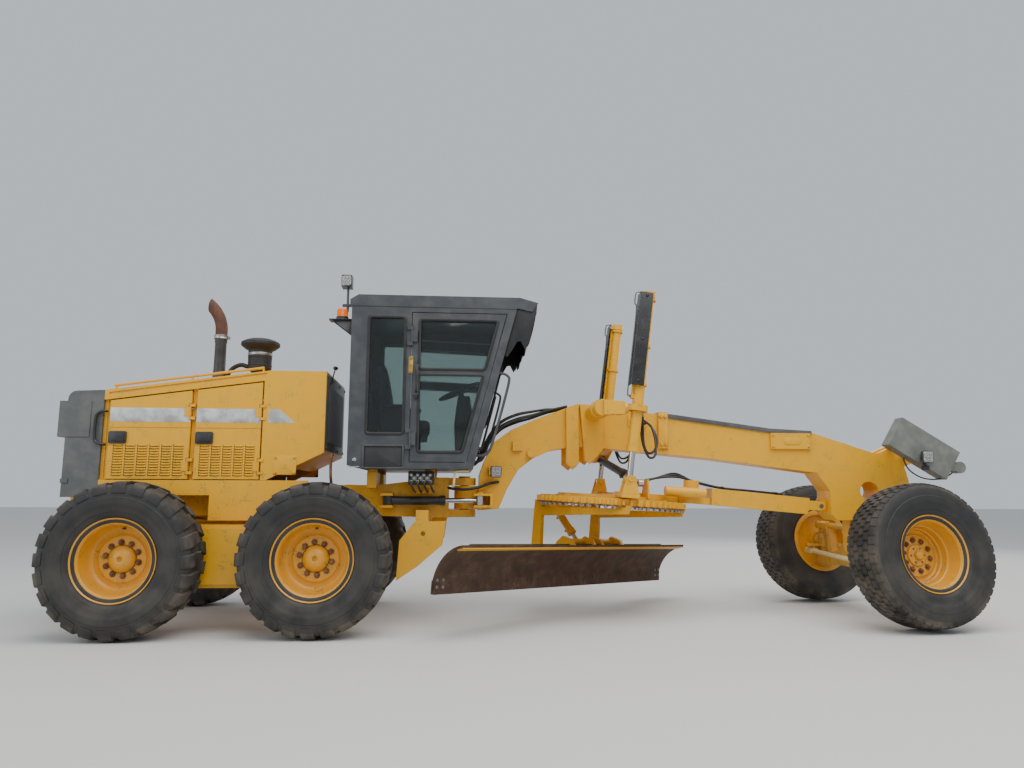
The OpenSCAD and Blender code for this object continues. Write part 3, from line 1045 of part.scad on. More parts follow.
module lift_rod(s) place() color("silver") at_lift(s) translate([0, 0, -gap(lift_eye, lift_at)])
  mirror([0, 0, 1]) rotate([0, 0, 90]) rod(0, 950, lift_d, 22, 50);

module swing_barrel() place() color([0.15, 0.15, 0.15]) aim(swing_from, swing_to) barrel(640, cyl_d, swing_pin, 96);
module swing_rod() place() color("silver") aim(swing_from, swing_to)
  rod(gap(swing_from, swing_to), 620, cyl_d, 18, 56);

module at_pitch() at_circle() aim([pitch_from[0], 0, pitch_from[1]], [pitch_to[0], 0, pitch_to[1]]) children();
module pitch_barrel() place() color([0.15, 0.15, 0.15]) at_pitch() barrel(330, cyl_d, 22, 80);
module pitch_rod() place() color("silver") at_pitch() rod(gap(pitch_from, pitch_to), 310, cyl_d, 18, 104);

function of_side(p, s) = [p[0], -s * p[1], p[2]];
module at_hinge_cyl(s) aim(of_side(hinge_cyl_from, s), of_side(hinge_cyl_to, s), 90) children();
module hinge_barrel(s) place() color([0.15, 0.15, 0.15]) at_hinge_cyl(s) barrel(560, cyl_d, hinge_cyl_pin, 84);
module hinge_rod(s) place() color("silver") at_hinge_cyl(s)
  rod(gap(hinge_cyl_from, hinge_cyl_to), 600, cyl_d, hinge_cyl_pin, 84);

rear_frame();
tandem();
hood();
shroud();
engine();
exhaust();
cab_shell();
cab_glass();
cab_inside();
cab_door(-1);  // cab_door_right
cab_door(1);  // cab_door_left
hood_door(0, -1);  // hood_door_right_rear
hood_door(1, -1);  // hood_door_right_front
hood_door(0, 1);  // hood_door_left_rear
hood_door(1, 1);  // hood_door_left_front
rim_rear(-1, rear_stations[0]);  // rim_right_rear
rim_rear(-1, rear_stations[1]);  // rim_right_mid
rim_rear(1, rear_stations[0]);  // rim_left_rear
rim_rear(1, rear_stations[1]);  // rim_left_mid
rim_front(-1);  // rim_right_front
rim_front(1);  // rim_left_front
tyre_rear(-1, rear_stations[0]);  // tyre_right_rear
tyre_rear(-1, rear_stations[1]);  // tyre_right_mid
tyre_rear(1, rear_stations[0]);  // tyre_left_rear
tyre_rear(1, rear_stations[1]);  // tyre_left_mid
tyre_front(-1);  // tyre_right_front
tyre_front(1);  // tyre_left_front
front_frame();
front_axle();
front_slab();
yoke(-1);  // yoke_right
yoke(1);  // yoke_left
knuckle(-1);  // knuckle_right
knuckle(1);  // knuckle_left
lean_bar();
tie_rod();
tie_rod_end();
steer_barrel(-1);  // steer_barrel_right
steer_barrel(1);  // steer_barrel_left
steer_rod(-1);  // steer_rod_right
steer_rod(1);  // steer_rod_left
hinge_barrel(-1);  // hinge_barrel_right
hinge_barrel(1);  // hinge_barrel_left
hinge_rod(-1);  // hinge_rod_right
hinge_rod(1);  // hinge_rod_left
drawbar_ball();
drawbar();
circle_ring();  // circle
blade_bracket();
blade();
lift_ring(-1);  // lift_ring_right
lift_ring(1);  // lift_ring_left
lift_barrel(-1);  // lift_barrel_right
lift_barrel(1);  // lift_barrel_left
lift_rod(-1);  // lift_rod_right
lift_rod(1);  // lift_rod_left
swing_barrel();
swing_rod();
pitch_barrel();
pitch_rod();
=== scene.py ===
# %% [markdown]
# A motor grader, dressed in Blender.
# The solids of the machine come packed and jointed. This notebook paints them, adds the
# small metal, rubber and glass that a solid model leaves out, and lights them for a photograph.

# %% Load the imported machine
import json
import math

import bmesh
import bpy
import numpy as np
from mathutils import Matrix, Vector


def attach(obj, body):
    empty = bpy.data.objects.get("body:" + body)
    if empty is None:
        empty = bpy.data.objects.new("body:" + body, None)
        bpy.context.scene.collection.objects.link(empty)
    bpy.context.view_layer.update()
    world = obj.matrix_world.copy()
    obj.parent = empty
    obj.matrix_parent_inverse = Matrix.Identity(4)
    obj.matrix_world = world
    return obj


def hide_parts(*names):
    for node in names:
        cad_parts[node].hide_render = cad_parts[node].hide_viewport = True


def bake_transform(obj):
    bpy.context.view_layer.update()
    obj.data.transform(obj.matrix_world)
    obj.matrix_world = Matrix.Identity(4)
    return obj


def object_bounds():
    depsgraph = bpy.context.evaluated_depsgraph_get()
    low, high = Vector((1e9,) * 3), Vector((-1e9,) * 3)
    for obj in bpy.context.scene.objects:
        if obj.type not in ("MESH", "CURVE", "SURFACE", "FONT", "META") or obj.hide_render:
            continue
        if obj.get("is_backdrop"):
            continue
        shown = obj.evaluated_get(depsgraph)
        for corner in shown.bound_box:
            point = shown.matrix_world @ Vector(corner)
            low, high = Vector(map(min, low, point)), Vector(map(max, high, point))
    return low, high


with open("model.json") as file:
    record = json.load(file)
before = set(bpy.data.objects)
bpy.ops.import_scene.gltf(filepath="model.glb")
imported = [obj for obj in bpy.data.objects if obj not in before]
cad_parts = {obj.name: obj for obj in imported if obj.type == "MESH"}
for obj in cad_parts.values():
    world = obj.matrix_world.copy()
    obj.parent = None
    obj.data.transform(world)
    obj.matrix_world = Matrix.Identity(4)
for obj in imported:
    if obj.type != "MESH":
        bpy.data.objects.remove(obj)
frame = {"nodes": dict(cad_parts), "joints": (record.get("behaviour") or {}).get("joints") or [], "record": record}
nodes = frame["nodes"]
slot_of = {part["node"]: part["material_slot"] for part in frame["record"]["subparts"]}
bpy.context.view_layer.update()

# %% [markdown]
# The camera stands where the photographer stood: a little right of the cab, below eye height,
# looking slightly up. The lens and the angles come from lining up the wheels with the picture.

# %% Camera
CAMERA_PLACE = (-0.744, -7.956, 1.247)
TURN_RIGHT, TILT_UP, ROLL = 4.312, 8.322, -0.190
IMAGE_WIDTH, FOCAL_PIXELS, SENSOR = 1024, 751.6, 36.0
camera = bpy.data.objects.new("camera", bpy.data.cameras.new("camera"))
bpy.context.scene.collection.objects.link(camera)
camera.data.sensor_fit = "HORIZONTAL"
camera.data.sensor_width = SENSOR
camera.data.lens = FOCAL_PIXELS / IMAGE_WIDTH * SENSOR
camera.matrix_world = (
    Matrix.Translation(CAMERA_PLACE)
    @ Matrix.Rotation(math.radians(-TURN_RIGHT), 4, "Z")
    @ Matrix.Rotation(math.radians(90 + TILT_UP), 4, "X")
    @ Matrix.Rotation(math.radians(-ROLL), 4, "Z")
)
bpy.context.scene.camera = camera

# %% [markdown]
# A pale flat floor, a large soft lamp overhead for the cloudy sky, and two
# weaker lamps that fill the near side. The world is a pale grey, so the shadows stay soft.

# %% Floor and light
floor_mesh = bpy.data.meshes.new("floor")
FLOOR_HALF = 60.0
floor_mesh.from_pydata(
    [(-FLOOR_HALF, -FLOOR_HALF, 0), (FLOOR_HALF, -FLOOR_HALF, 0),
     (FLOOR_HALF, FLOOR_HALF, 0), (-FLOOR_HALF, FLOOR_HALF, 0)],
    [], [(0, 1, 2, 3)])
floor = bpy.data.objects.new("floor", floor_mesh)
bpy.context.scene.collection.objects.link(floor)
floor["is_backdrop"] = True

def new_paint(name):
    """A material with its node tree and its one surface shader."""
    made = bpy.data.materials.new(name)
    made.use_nodes = True
    return made, made.node_tree, made.node_tree.nodes["Principled BSDF"]


floor_paint, _, floor_shader = new_paint("pale_floor")
floor_shader.inputs["Base Color"].default_value = (0.62, 0.61, 0.59, 1)
floor_shader.inputs["Roughness"].default_value = 0.9
floor_mesh.materials.append(floor_paint)

world = bpy.data.worlds.new("cloudy_sky")
bpy.context.scene.world = world
world.use_nodes = True
world.node_tree.nodes["Background"].inputs["Color"].default_value = (0.80, 0.86, 0.93, 1)
world.node_tree.nodes["Background"].inputs["Strength"].default_value = 0.75

LAMP_PLACE, LAMP_AIM, LAMP_SIZE, LAMP_POWER, LAMP_COLOR = range(5)
lamps = [
    [(2.0, -5.0, 11.0), (0.0, 0.0, 1.0), 12.0, 1500.0, (1.0, 0.98, 0.95)],
    [(-12.0, -7.0, 6.0), (-1.0, 0.0, 1.2), 8.0, 380.0, (0.95, 0.97, 1.0)],
    [(9.0, 9.0, 7.0), (0.0, 0.0, 1.5), 7.0, 420.0, (1.0, 0.96, 0.9)],
]
for number, row in enumerate(lamps):
    data = bpy.data.lights.new(f"soft_lamp_{number}", "AREA")
    data.size, data.energy, data.color = row[LAMP_SIZE], row[LAMP_POWER], row[LAMP_COLOR]
    lamp = bpy.data.objects.new(f"soft_lamp_{number}", data)
    bpy.context.scene.collection.objects.link(lamp)
    place = Vector(row[LAMP_PLACE])
    lamp.matrix_world = Matrix.Translation(place) @ (
        Vector(row[LAMP_AIM]) - place).to_track_quat("-Z", "Y").to_matrix().to_4x4()
print(len(lamps), "lamps")

# %% [markdown]
# Every finish starts from the same weathering: a rounded edge, paint rubbed off at corners,
# specks and streaks of rust, and road dust that lies thicker low down and on upward faces.
# It is one shader group, so each paint only states its own colours and amounts.

# %% The weathering group
def group_socket(tree, name, kind, way, value=None):
    """Adds one named input or output to a shader group."""
    socket = tree.interface.new_socket(name=name, in_out=way, socket_type=kind)
    if value is not None:
        socket.default_value = value
    return socket


def node(tree, kind, **settings):
    """Adds a shader node; a setting whose name is a socket's fills that socket."""
    made = tree.nodes.new(kind)
    for name, value in settings.items():
        if hasattr(made, name):
            setattr(made, name, value)
        else:
            made.inputs[name.replace("_", " ")].default_value = value
    return made


def math_node(tree, operation, a, b=None, clamp=False):
    """One sum; a and b are sockets or numbers."""
    made = tree.nodes.new("ShaderNodeMath")
    made.operation, made.use_clamp = operation, clamp
    for place, value in enumerate((a, b)):
        if isinstance(value, (int, float)):
            made.inputs[place].default_value = value
        elif value is not None:
            tree.links.new(value, made.inputs[place])
    return made.outputs[0]


def ramp(tree, value, low, high):
    """0 where value is at low or less, 1 at high or more, smooth between."""
    made = tree.nodes.new("ShaderNodeMapRange")
    made.interpolation_type = "SMOOTHSTEP"
    made.inputs["From Min"].default_value = low
    made.inputs["From Max"].default_value = high
    tree.links.new(value, made.inputs["Value"])
    return made.outputs["Result"]


def noise(tree, vector, scale, detail=3.0, stretch=None):
    """Soft noise in metres; stretch scales its three axes."""
    if stretch:
        mapping = tree.nodes.new("ShaderNodeMapping")
        mapping.inputs["Scale"].default_value = stretch
        tree.links.new(vector, mapping.inputs["Vector"])
        vector = mapping.outputs["Vector"]
    made = tree.nodes.new("ShaderNodeTexNoise")
    made.inputs["Scale"].default_value = scale
    made.inputs["Detail"].default_value = detail
    tree.links.new(vector, made.inputs["Vector"])
    return made.outputs["Fac"]


def mix_color(tree, factor, a, b):
    """b over a by factor; each is a socket or a colour."""
    made = tree.nodes.new("ShaderNodeMix")
    made.data_type = "RGBA"
    tree.links.new(factor, made.inputs["Factor"])
    for name, value in (("A", a), ("B", b)):
        socket = [s for s in made.inputs if s.name == name and s.type == "RGBA"][0]
        if isinstance(value, tuple):
            socket.default_value = value
        else:
            tree.links.new(value, socket)
    return [s for s in made.outputs if s.type == "RGBA"][0]


weather = bpy.data.node_groups.new("weathering", "ShaderNodeTree")
COLOR, VALUE, VECTOR = "NodeSocketColor", "NodeSocketFloat", "NodeSocketVector"
group_socket(weather, "Paint", COLOR, "INPUT", (0.8, 0.45, 0.02, 1))
group_socket(weather, "Faded", COLOR, "INPUT", (0.8, 0.5, 0.1, 1))
group_socket(weather, "Bare", COLOR, "INPUT", (0.12, 0.05, 0.025, 1))
group_socket(weather, "Dust", COLOR, "INPUT", (0.36, 0.30, 0.22, 1))
for name, value in (("Edge wear", 0.5), ("Rust", 0.3), ("Dust amount", 0.3),
                    ("Roughness", 0.45), ("Grain", 0.3), ("Edge radius", 0.004)):
    group_socket(weather, name, VALUE, "INPUT", value)
group_socket(weather, "Color", COLOR, "OUTPUT")
group_socket(weather, "Roughness", VALUE, "OUTPUT")
group_socket(weather, "Normal", VECTOR, "OUTPUT")

given = weather.nodes.new("NodeGroupInput").outputs
result = weather.nodes.new("NodeGroupOutput").inputs
place = weather.nodes.new("ShaderNodeTexCoord").outputs["Object"]
shape = weather.nodes.new("ShaderNodeNewGeometry")
rounded = node(weather, "ShaderNodeBevel", samples=3)
weather.links.new(given["Edge radius"], rounded.inputs["Radius"])
bend = node(weather, "ShaderNodeVectorMath", operation="DOT_PRODUCT")
weather.links.new(rounded.outputs["Normal"], bend.inputs[0])
weather.links.new(shape.outputs["Normal"], bend.inputs[1])
# An edge is where the rounded normal leaves the face's own
edge = ramp(weather, math_node(weather, "SUBTRACT", 1.0, bend.outputs["Value"]), 0.01, 0.16)
patches = noise(weather, place, 9.0, 6.0)
specks = noise(weather, place, 60.0, 4.0)
streaks = noise(weather, place, 14.0, 4.0, (1.0, 1.0, 0.12))
rub = math_node(weather, "MULTIPLY", edge, ramp(weather, specks, 0.42, 0.62))
rub = math_node(weather, "MULTIPLY", rub, given["Edge wear"])
spots = ramp(weather, math_node(weather, "MULTIPLY", patches, specks), 0.335, 0.40)
runs = ramp(weather, streaks, 0.60, 0.78)
rust = math_node(weather, "ADD", spots, math_node(weather, "MULTIPLY", runs, 0.25))
rust = math_node(weather, "MULTIPLY", rust, given["Rust"], True)
bare = math_node(weather, "MAXIMUM", rub, rust, True)
axes = weather.nodes.new("ShaderNodeSeparateXYZ")
weather.links.new(place, axes.inputs[0])
facing = weather.nodes.new("ShaderNodeSeparateXYZ")
weather.links.new(shape.outputs["Normal"], facing.inputs[0])
low = math_node(weather, "SUBTRACT", 1.0, ramp(weather, axes.outputs["Z"], 0.1, 1.7))
upward = ramp(weather, facing.outputs["Z"], 0.3, 0.95)
dust = math_node(weather, "ADD", math_node(weather, "MULTIPLY", low, 0.75),
                 math_node(weather, "MULTIPLY", upward, 0.55))
dust = math_node(weather, "MULTIPLY", dust, ramp(weather, noise(weather, place, 5.0, 8.0), 0.30, 0.72))
dust = math_node(weather, "MULTIPLY", dust, given["Dust amount"], True)
faded = mix_color(weather, ramp(weather, patches, 0.35, 0.68), given["Paint"], given["Faded"])
color = mix_color(weather, bare, faded, given["Bare"])
color = mix_color(weather, dust, color, given["Dust"])
weather.links.new(color, result["Color"])
matte = math_node(weather, "ADD", given["Roughness"], math_node(weather, "MULTIPLY", bare, 0.3))
matte = math_node(weather, "ADD", matte, math_node(weather, "MULTIPLY", dust, 0.4))
matte = math_node(weather, "ADD", matte, math_node(weather, "MULTIPLY", math_node(
    weather, "SUBTRACT", patches, 0.5), 0.25), True)
weather.links.new(matte, result["Roughness"])
relief = node(weather, "ShaderNodeBump", Distance=0.0015)
height = math_node(weather, "SUBTRACT", math_node(weather, "MULTIPLY", specks, given["Grain"]), bare)
weather.links.new(height, relief.inputs["Height"])
relief.inputs["Strength"].default_value = 0.55
weather.links.new(rounded.outputs["Normal"], relief.inputs["Normal"])
weather.links.new(relief.outputs["Normal"], result["Normal"])
print("weathering group with", len(weather.nodes), "nodes")

# %% [markdown]
# Each paint is one row: its colour, what it fades to, what shows where it is gone, and how much
# wear, rust and dust it carries. The yellow is orange-tinted and chalky, the blade bare and rusty.

# %% Paints from rows
NAME, PAINT, FADED, BARE, WEAR, RUST, DUST, ROUGH, GRAIN, EDGE, METAL, COAT = range(12)
paint_rows = [
    ["frame_yellow", (0.82, 0.400, 0.002), (0.76, 0.39, 0.008), (0.10, 0.05, 0.03),
     0.65, 0.34, 0.08, 0.44, 0.25, 0.005, 0.0, 0.10],
    ["axle_yellow", (0.72, 0.35, 0.015), (0.58, 0.34, 0.05), (0.09, 0.06, 0.04),
     0.8, 0.5, 0.4, 0.5, 0.35, 0.004, 0.0, 0.1],
    ["rim_yellow", (0.74, 0.33, 0.004), (0.66, 0.32, 0.015), (0.12, 0.05, 0.03),
     0.7, 0.5, 0.14, 0.42, 0.25, 0.004, 0.0, 0.2],
    ["cab_grey", (0.042, 0.046, 0.052), (0.062, 0.066, 0.07), (0.16, 0.10, 0.07),
     0.35, 0.12, 0.16, 0.42, 0.3, 0.006, 0.0, 0.15],
    ["shroud_grey", (0.085, 0.09, 0.09), (0.12, 0.12, 0.115), (0.10, 0.07, 0.05),
     0.3, 0.12, 0.25, 0.5, 0.3, 0.008, 0.0, 0.1],
    ["slab_grey", (0.14, 0.145, 0.13), (0.19, 0.20, 0.18), (0.15, 0.10, 0.07),
     0.4, 0.25, 0.35, 0.6, 0.4, 0.005, 0.0, 0.0],
    ["engine_iron", (0.03, 0.03, 0.03), (0.05, 0.048, 0.045), (0.08, 0.05, 0.03),
     0.4, 0.4, 0.5, 0.6, 0.6, 0.004, 0.2, 0.0],
    ["exhaust_rust", (0.10, 0.045, 0.03), (0.16, 0.07, 0.04), (0.05, 0.03, 0.025),
     0.4, 0.7, 0.1, 0.75, 0.8, 0.002, 0.3, 0.0],
    ["blade_steel", (0.050, 0.024, 0.014), (0.095, 0.048, 0.026), (0.24, 0.19, 0.15),
     0.7, 0.35, 0.12, 0.62, 0.7, 0.003, 0.35, 0.0],
    ["black_steel", (0.015, 0.015, 0.016), (0.026, 0.026, 0.026), (0.10, 0.06, 0.04),
     0.5, 0.25, 0.22, 0.4, 0.3, 0.003, 0.0, 0.1],
    ["rod_chrome", (0.62, 0.63, 0.64), (0.55, 0.55, 0.55), (0.30, 0.28, 0.25),
     0.1, 0.04, 0.12, 0.16, 0.02, 0.001, 1.0, 0.0],
    ["pin_steel", (0.22, 0.21, 0.20), (0.17, 0.16, 0.15), (0.10, 0.07, 0.05),
     0.3, 0.35, 0.3, 0.45, 0.4, 0.002, 0.8, 0.0],
    ["tie_rod_cream", (0.74, 0.58, 0.25), (0.66, 0.52, 0.25), (0.16, 0.08, 0.04),
     0.6, 0.45, 0.3, 0.5, 0.3, 0.002, 0.0, 0.1],
    ["cab_trim", (0.02, 0.02, 0.021), (0.03, 0.03, 0.032), (0.05, 0.05, 0.05),
     0.1, 0.0, 0.2, 0.6, 0.5, 0.006, 0.0, 0.0],
    ["tread_rubber", (0.016, 0.015, 0.014), (0.024, 0.022, 0.021), (0.04, 0.036, 0.03),
     0.12, 0.0, 0.40, 0.75, 0.5, 0.004, 0.0, 0.0],
    ["side_rubber", (0.013, 0.013, 0.013), (0.019, 0.019, 0.019), (0.04, 0.036, 0.03),
     0.08, 0.0, 0.16, 0.58, 0.3, 0.004, 0.0, 0.0],
    ["hose_rubber", (0.012, 0.012, 0.012), (0.02, 0.02, 0.02), (0.04, 0.04, 0.04),
     0.0, 0.0, 0.35, 0.5, 0.4, 0.001, 0.0, 0.0],
    ["stripe_white", (0.62, 0.62, 0.60), (0.34, 0.36, 0.37), (0.45, 0.30, 0.12),
     0.3, 0.5, 0.2, 0.42, 0.2, 0.001, 0.0, 0.2],
    ["zinc", (0.42, 0.41, 0.38), (0.34, 0.33, 0.30), (0.14, 0.08, 0.05),
     0.4, 0.5, 0.3, 0.4, 0.3, 0.001, 0.9, 0.0],
    ["rust_nuts", (0.15, 0.06, 0.03), (0.30, 0.14, 0.05), (0.05, 0.025, 0.02),
     0.5, 0.6, 0.2, 0.6, 0.6, 0.002, 0.3, 0.0],
    ["brass", (0.50, 0.32, 0.08), (0.38, 0.24, 0.07), (0.14, 0.07, 0.03),
     0.4, 0.5, 0.2, 0.4, 0.3, 0.001, 0.8, 0.0],
    ["grip_grey", (0.075, 0.078, 0.075), (0.11, 0.11, 0.105), (0.10, 0.08, 0.05),
     0.3, 0.2, 0.4, 0.8, 1.0, 0.002, 0.0, 0.0],
    ["seat_cloth", (0.030, 0.031, 0.036), (0.045, 0.046, 0.050), (0.07, 0.068, 0.065),
     0.1, 0.0, 0.25, 0.88, 1.0, 0.0012, 0.0, 0.0],
    ["lamp_shell", (0.03, 0.03, 0.032), (0.05, 0.05, 0.05), (0.10, 0.08, 0.06),
     0.2, 0.1, 0.3, 0.5, 0.3, 0.003, 0.0, 0.1],
]
finish = {}
for row in paint_rows:
    made, tree, shader = new_paint(row[NAME])
    worn = tree.nodes.new("ShaderNodeGroup")
    worn.node_tree = weather
    for socket, column in (("Paint", PAINT), ("Faded", FADED), ("Bare", BARE)):
        worn.inputs[socket].default_value = (*row[column], 1)
    for socket, column in (("Edge wear", WEAR), ("Rust", RUST), ("Dust amount", DUST),
                           ("Roughness", ROUGH), ("Grain", GRAIN), ("Edge radius", EDGE)):
        worn.inputs[socket].default_value = row[column]
    tree.links.new(worn.outputs["Color"], shader.inputs["Base Color"])
    tree.links.new(worn.outputs["Roughness"], shader.inputs["Roughness"])
    tree.links.new(worn.outputs["Normal"], shader.inputs["Normal"])
    shader.inputs["Metallic"].default_value = row[METAL]
    shader.inputs["Coat Weight"].default_value = row[COAT]
    shader.inputs["Coat Roughness"].default_value = 0.25
    made.diffuse_color = (*row[PAINT], 1)
    finish[row[NAME]] = made
print(len(finish), "paints")

# %% [markdown]
# Glass, lamp lenses and the amber beacon are clear materials, so they get shaders of their own.

# %% Glass and lenses
def clear_finish(name, color, roughness, transmission, glow=0.0):
    """A clear material with soft smears, which make it rougher in patches."""
    made, tree, shader = new_paint(name)
    shader.inputs["Base Color"].default_value = (*color, 1)
    shader.inputs["IOR"].default_value = 1.45
    shader.inputs["Transmission Weight"].default_value = transmission
    place = tree.nodes.new("ShaderNodeTexCoord").outputs["Object"]
    smears = ramp(tree, noise(tree, place, 6.0, 5.0), 0.3, 0.9)
    tree.links.new(math_node(tree, "ADD", math_node(tree, "MULTIPLY", smears, 0.12), roughness),
                   shader.inputs["Roughness"])
    if glow:
        shader.inputs["Emission Color"].default_value = (*color, 1)
        shader.inputs["Emission Strength"].default_value = glow
    made.diffuse_color = (*color, 0.5)
    finish[name] = made


clear_finish("window_glass", (0.42, 0.51, 0.49), 0.02, 1.0)
clear_finish("lamp_lens", (0.85, 0.86, 0.84), 0.08, 0.7)
clear_finish("amber_lens", (0.95, 0.22, 0.01), 0.15, 0.55, 0.25)
clear_finish("red_lens", (0.55, 0.02, 0.01), 0.15, 0.4, 0.05)

# %% [markdown]
# Each solid takes the finish that its material slot names, apart from rubber and glass, whose
# slots have other names, and one cylinder that is painted yellow.

# %% Give every solid its finish
finish_of_slot = {"rubber": "tread_rubber", "glass": "window_glass"}
finish_of_node = {"pitch_barrel": "frame_yellow"}
for name, solid in nodes.items():
    wanted = finish[finish_of_node.get(name, finish_of_slot.get(slot_of[name], slot_of[name]))]
    solid.data.materials.clear()
    solid.data.materials.append(wanted)
print(len(nodes), "solids painted")

# %% [markdown]
# Round things such as tyres and rims are turned: an outline in a plane that holds the axle is
# carried once round it. A small frame of reference for each wheel puts the turned piece on its
# axle, and the wheel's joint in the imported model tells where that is.

# %% Meshes from grids
SAME_POINT = 1e-6


def join_parts(parts):
    """Stacks (points, faces) pairs into one pair; the faces of each keep their own points."""
    counts = np.cumsum([0] + [len(points) for points, _ in parts])
    points = np.vstack([points for points, _ in parts])
    faces = []
    for start, (_, some) in zip(counts, parts):
        faces += [tuple(int(i) + int(start) for i in face) for face in some]
    return points, faces


def grid_faces(rows, columns, round_rows=False, round_columns=False):
    """Squares between neighbours of a grid; a round direction also joins its last to its first."""
    down = np.arange(rows if round_rows else rows - 1)
    across = np.arange(columns if round_columns else columns - 1)
    i, j = np.meshgrid(down, across, indexing="ij")
    i2, j2 = (i + 1) % rows, (j + 1) % columns
    corners = [i * columns + j, i * columns + j2, i2 * columns + j2, i2 * columns + j]
    return np.stack(corners, -1).reshape(-1, 4).tolist()


def copied_faces(faces, count, stride):
    """The faces of one shape, repeated for count copies that have stride points each."""
    starts = range(0, count * stride, stride)
    return [tuple(int(i) + start for i in face) for start in starts for face in faces]


def make_mesh(name, points, faces, paint, smooth):
    """A painted piece from points in metres; edges bent by more than smooth degrees stay sharp."""
    mesh = bpy.data.meshes.new(name)
    mesh.from_pydata(np.asarray(points, float).tolist(), [], [tuple(face) for face in faces])
    shape = bmesh.new()
    shape.from_mesh(mesh)
    bmesh.ops.remove_doubles(shape, verts=shape.verts, dist=SAME_POINT)
    bmesh.ops.recalc_face_normals(shape, faces=shape.faces)
    shape.to_mesh(mesh)
    shape.free()
    piece = bpy.data.objects.new(name, mesh)
    bpy.context.scene.collection.objects.link(piece)
    mesh.materials.append(finish[paint])
    mesh.shade_smooth()
    mesh.set_sharp_from_angle(angle=math.radians(smooth))
    return piece


def place_mesh(name, points, faces, paint, body, smooth=35.0):
    """Makes a piece and lets it ride on one body of the machine."""
    piece = make_mesh(name, points, faces, paint, smooth)
    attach(piece, body)
    return piece


def turned(outline, sides, closed=True):
    """An outline of (along, out) points carried round the first axis: x = out cos a, z = out sin a."""
    outline = np.asarray(outline, float)
    angle = np.linspace(0, 2 * np.pi, sides, endpoint=False)[:, None]
    points = np.stack([outline[:, 1] * np.cos(angle), outline[:, 0] + 0 * angle,
                       outline[:, 1] * np.sin(angle)], -1)
    return points.reshape(-1, 3), grid_faces(sides, len(outline), True, closed)


def wheel_place(joint_name):
    """The wheel's centre and a turn that takes +Y to the outside of its axle."""
    joint = joints[joint_name]
    axle = Vector(joint["axis"]).normalized()
    if axle.y * joint["pos_m"][1] < 0:
        axle = -axle
    ahead = axle.cross(Vector((0, 0, 1))).normalized()
    up = ahead.cross(axle).normalized()
    turn = np.array([ahead, axle, up]).T
    return np.array(joint["pos_m"]), turn


joints = {joint["name"]: joint for joint in frame["joints"]}

# %% [markdown]
# A rear tyre has a smooth carcass and two rows of thick bars, one on each shoulder and half a
# step apart, with a groove between them. The carcass is turned from an outline. Each bar is a
# grid that runs from the groove outwards and bends down over the shoulder; its sides lean in a
# little, as moulded rubber does, and a shallow cut crosses its top.

# %% Outline of a tyre
BAR_HEIGHT, SHOULDER_HEIGHT = 0.034, 0.036
TURNING_STEPS = 120
side_outline = np.array([
    (0.174, 0.318), (0.1785, 0.330), (0.181, 0.345), (0.1765, 0.3545), (0.180, 0.360), (0.192, 0.380),
    (0.204, 0.402), (0.2045, 0.410), (0.2085, 0.412), (0.214, 0.440), (0.2185, 0.470), (0.2205, 0.4735),
    (0.2215, 0.490), (0.2215, 0.520), (0.2205, 0.536), (0.2165, 0.540), (0.2155, 0.556), (0.2125, 0.580),
    (0.2060, 0.602), (0.1930, 0.622), (0.1720, 0.6365), (0.1400, 0.6430), (0.0900, 0.6450), (0.0, 0.6460)])
inner_outline = np.array([(0.1700, 0.3900), (0.1600, 0.3180)])


def mirrored(outline):
    """The outline for one side, then the same backwards for the other, left out where they meet."""
    flipped = outline[::-1] * (-1, 1)
    return np.vstack([outline, flipped[1:] if outline[-1, 0] == 0 else flipped])


def outer_line(along):
    """Radius and station on the worn surface of the bars, as along goes from groove to shoulder."""
    stops = np.array([0.0, 0.45, 0.72, 0.86, 1.0])
    station = np.interp(along, stops, [0.010, 0.120, 0.180, 0.2075, 0.2195])
    radius = np.interp(along, stops, [0.6750, 0.6715, 0.6600, 0.6300, 0.5750])
    return station, radius


def tread_bars(count, side, shift, share=0.64, steps=13, slant=0.22):
    """Bars round a tyre. Along a bar the station and radius follow outer_line; across it the
    angle goes from one flank to the other, and the flanks drop by the bar's height."""
    along = np.linspace(0, 1, steps)
    station, radius = outer_line(along)
    depth = np.interp(along, [0, 0.72, 0.9, 1], [BAR_HEIGHT, SHOULDER_HEIGHT, 0.022, 0.006])
    pitch = 2 * np.pi / count
    half = share * pitch / 2 * np.interp(along, [0, 0.5, 1], [0.86, 1.0, 1.06])
    across = np.array([-1.10, -1.0, -0.93, 0.93, 1.0, 1.10])
    drop = np.array([1.0, 0.16, 0.0, 0.0, 0.16, 1.0])
    cut = np.where(np.abs(along - 0.42) < 0.045, 0.010, 0.0)
    angle0 = np.arange(count) * pitch + shift * pitch
    angle = (angle0[:, None, None] + slant * pitch * (along[None, :, None] - 0.5)
             + half[None, :, None] * across[None, None, :])
    out = radius[None, :, None] - depth[None, :, None] * drop - cut[None, :, None] * (drop == 0)
    out = np.broadcast_to(out, angle.shape)
    lean_in = 0.004 * (1 - np.cos(along * np.pi / 4))
    y = np.broadcast_to(side * (station[None, :, None] - drop * lean_in[None, :, None]), angle.shape)
    points = np.stack([out * np.cos(angle), y, out * np.sin(angle)], -1).reshape(-1, 3)
    wide = len(across)
    bar = grid_faces(steps, wide)
    bar += [list(range(wide)), [(steps - 1) * wide + j for j in range(wide)][::-1]]
    bar += [[i * wide, (i + 1) * wide, (i + 2) * wide - 1, (i + 1) * wide - 1] for i in range(steps - 1)]
    return points, copied_faces(bar, count, steps * wide)


def put(points, place, turn):
    """Points of a wheel's own frame taken to where the wheel stands."""
    return points @ turn.T + place


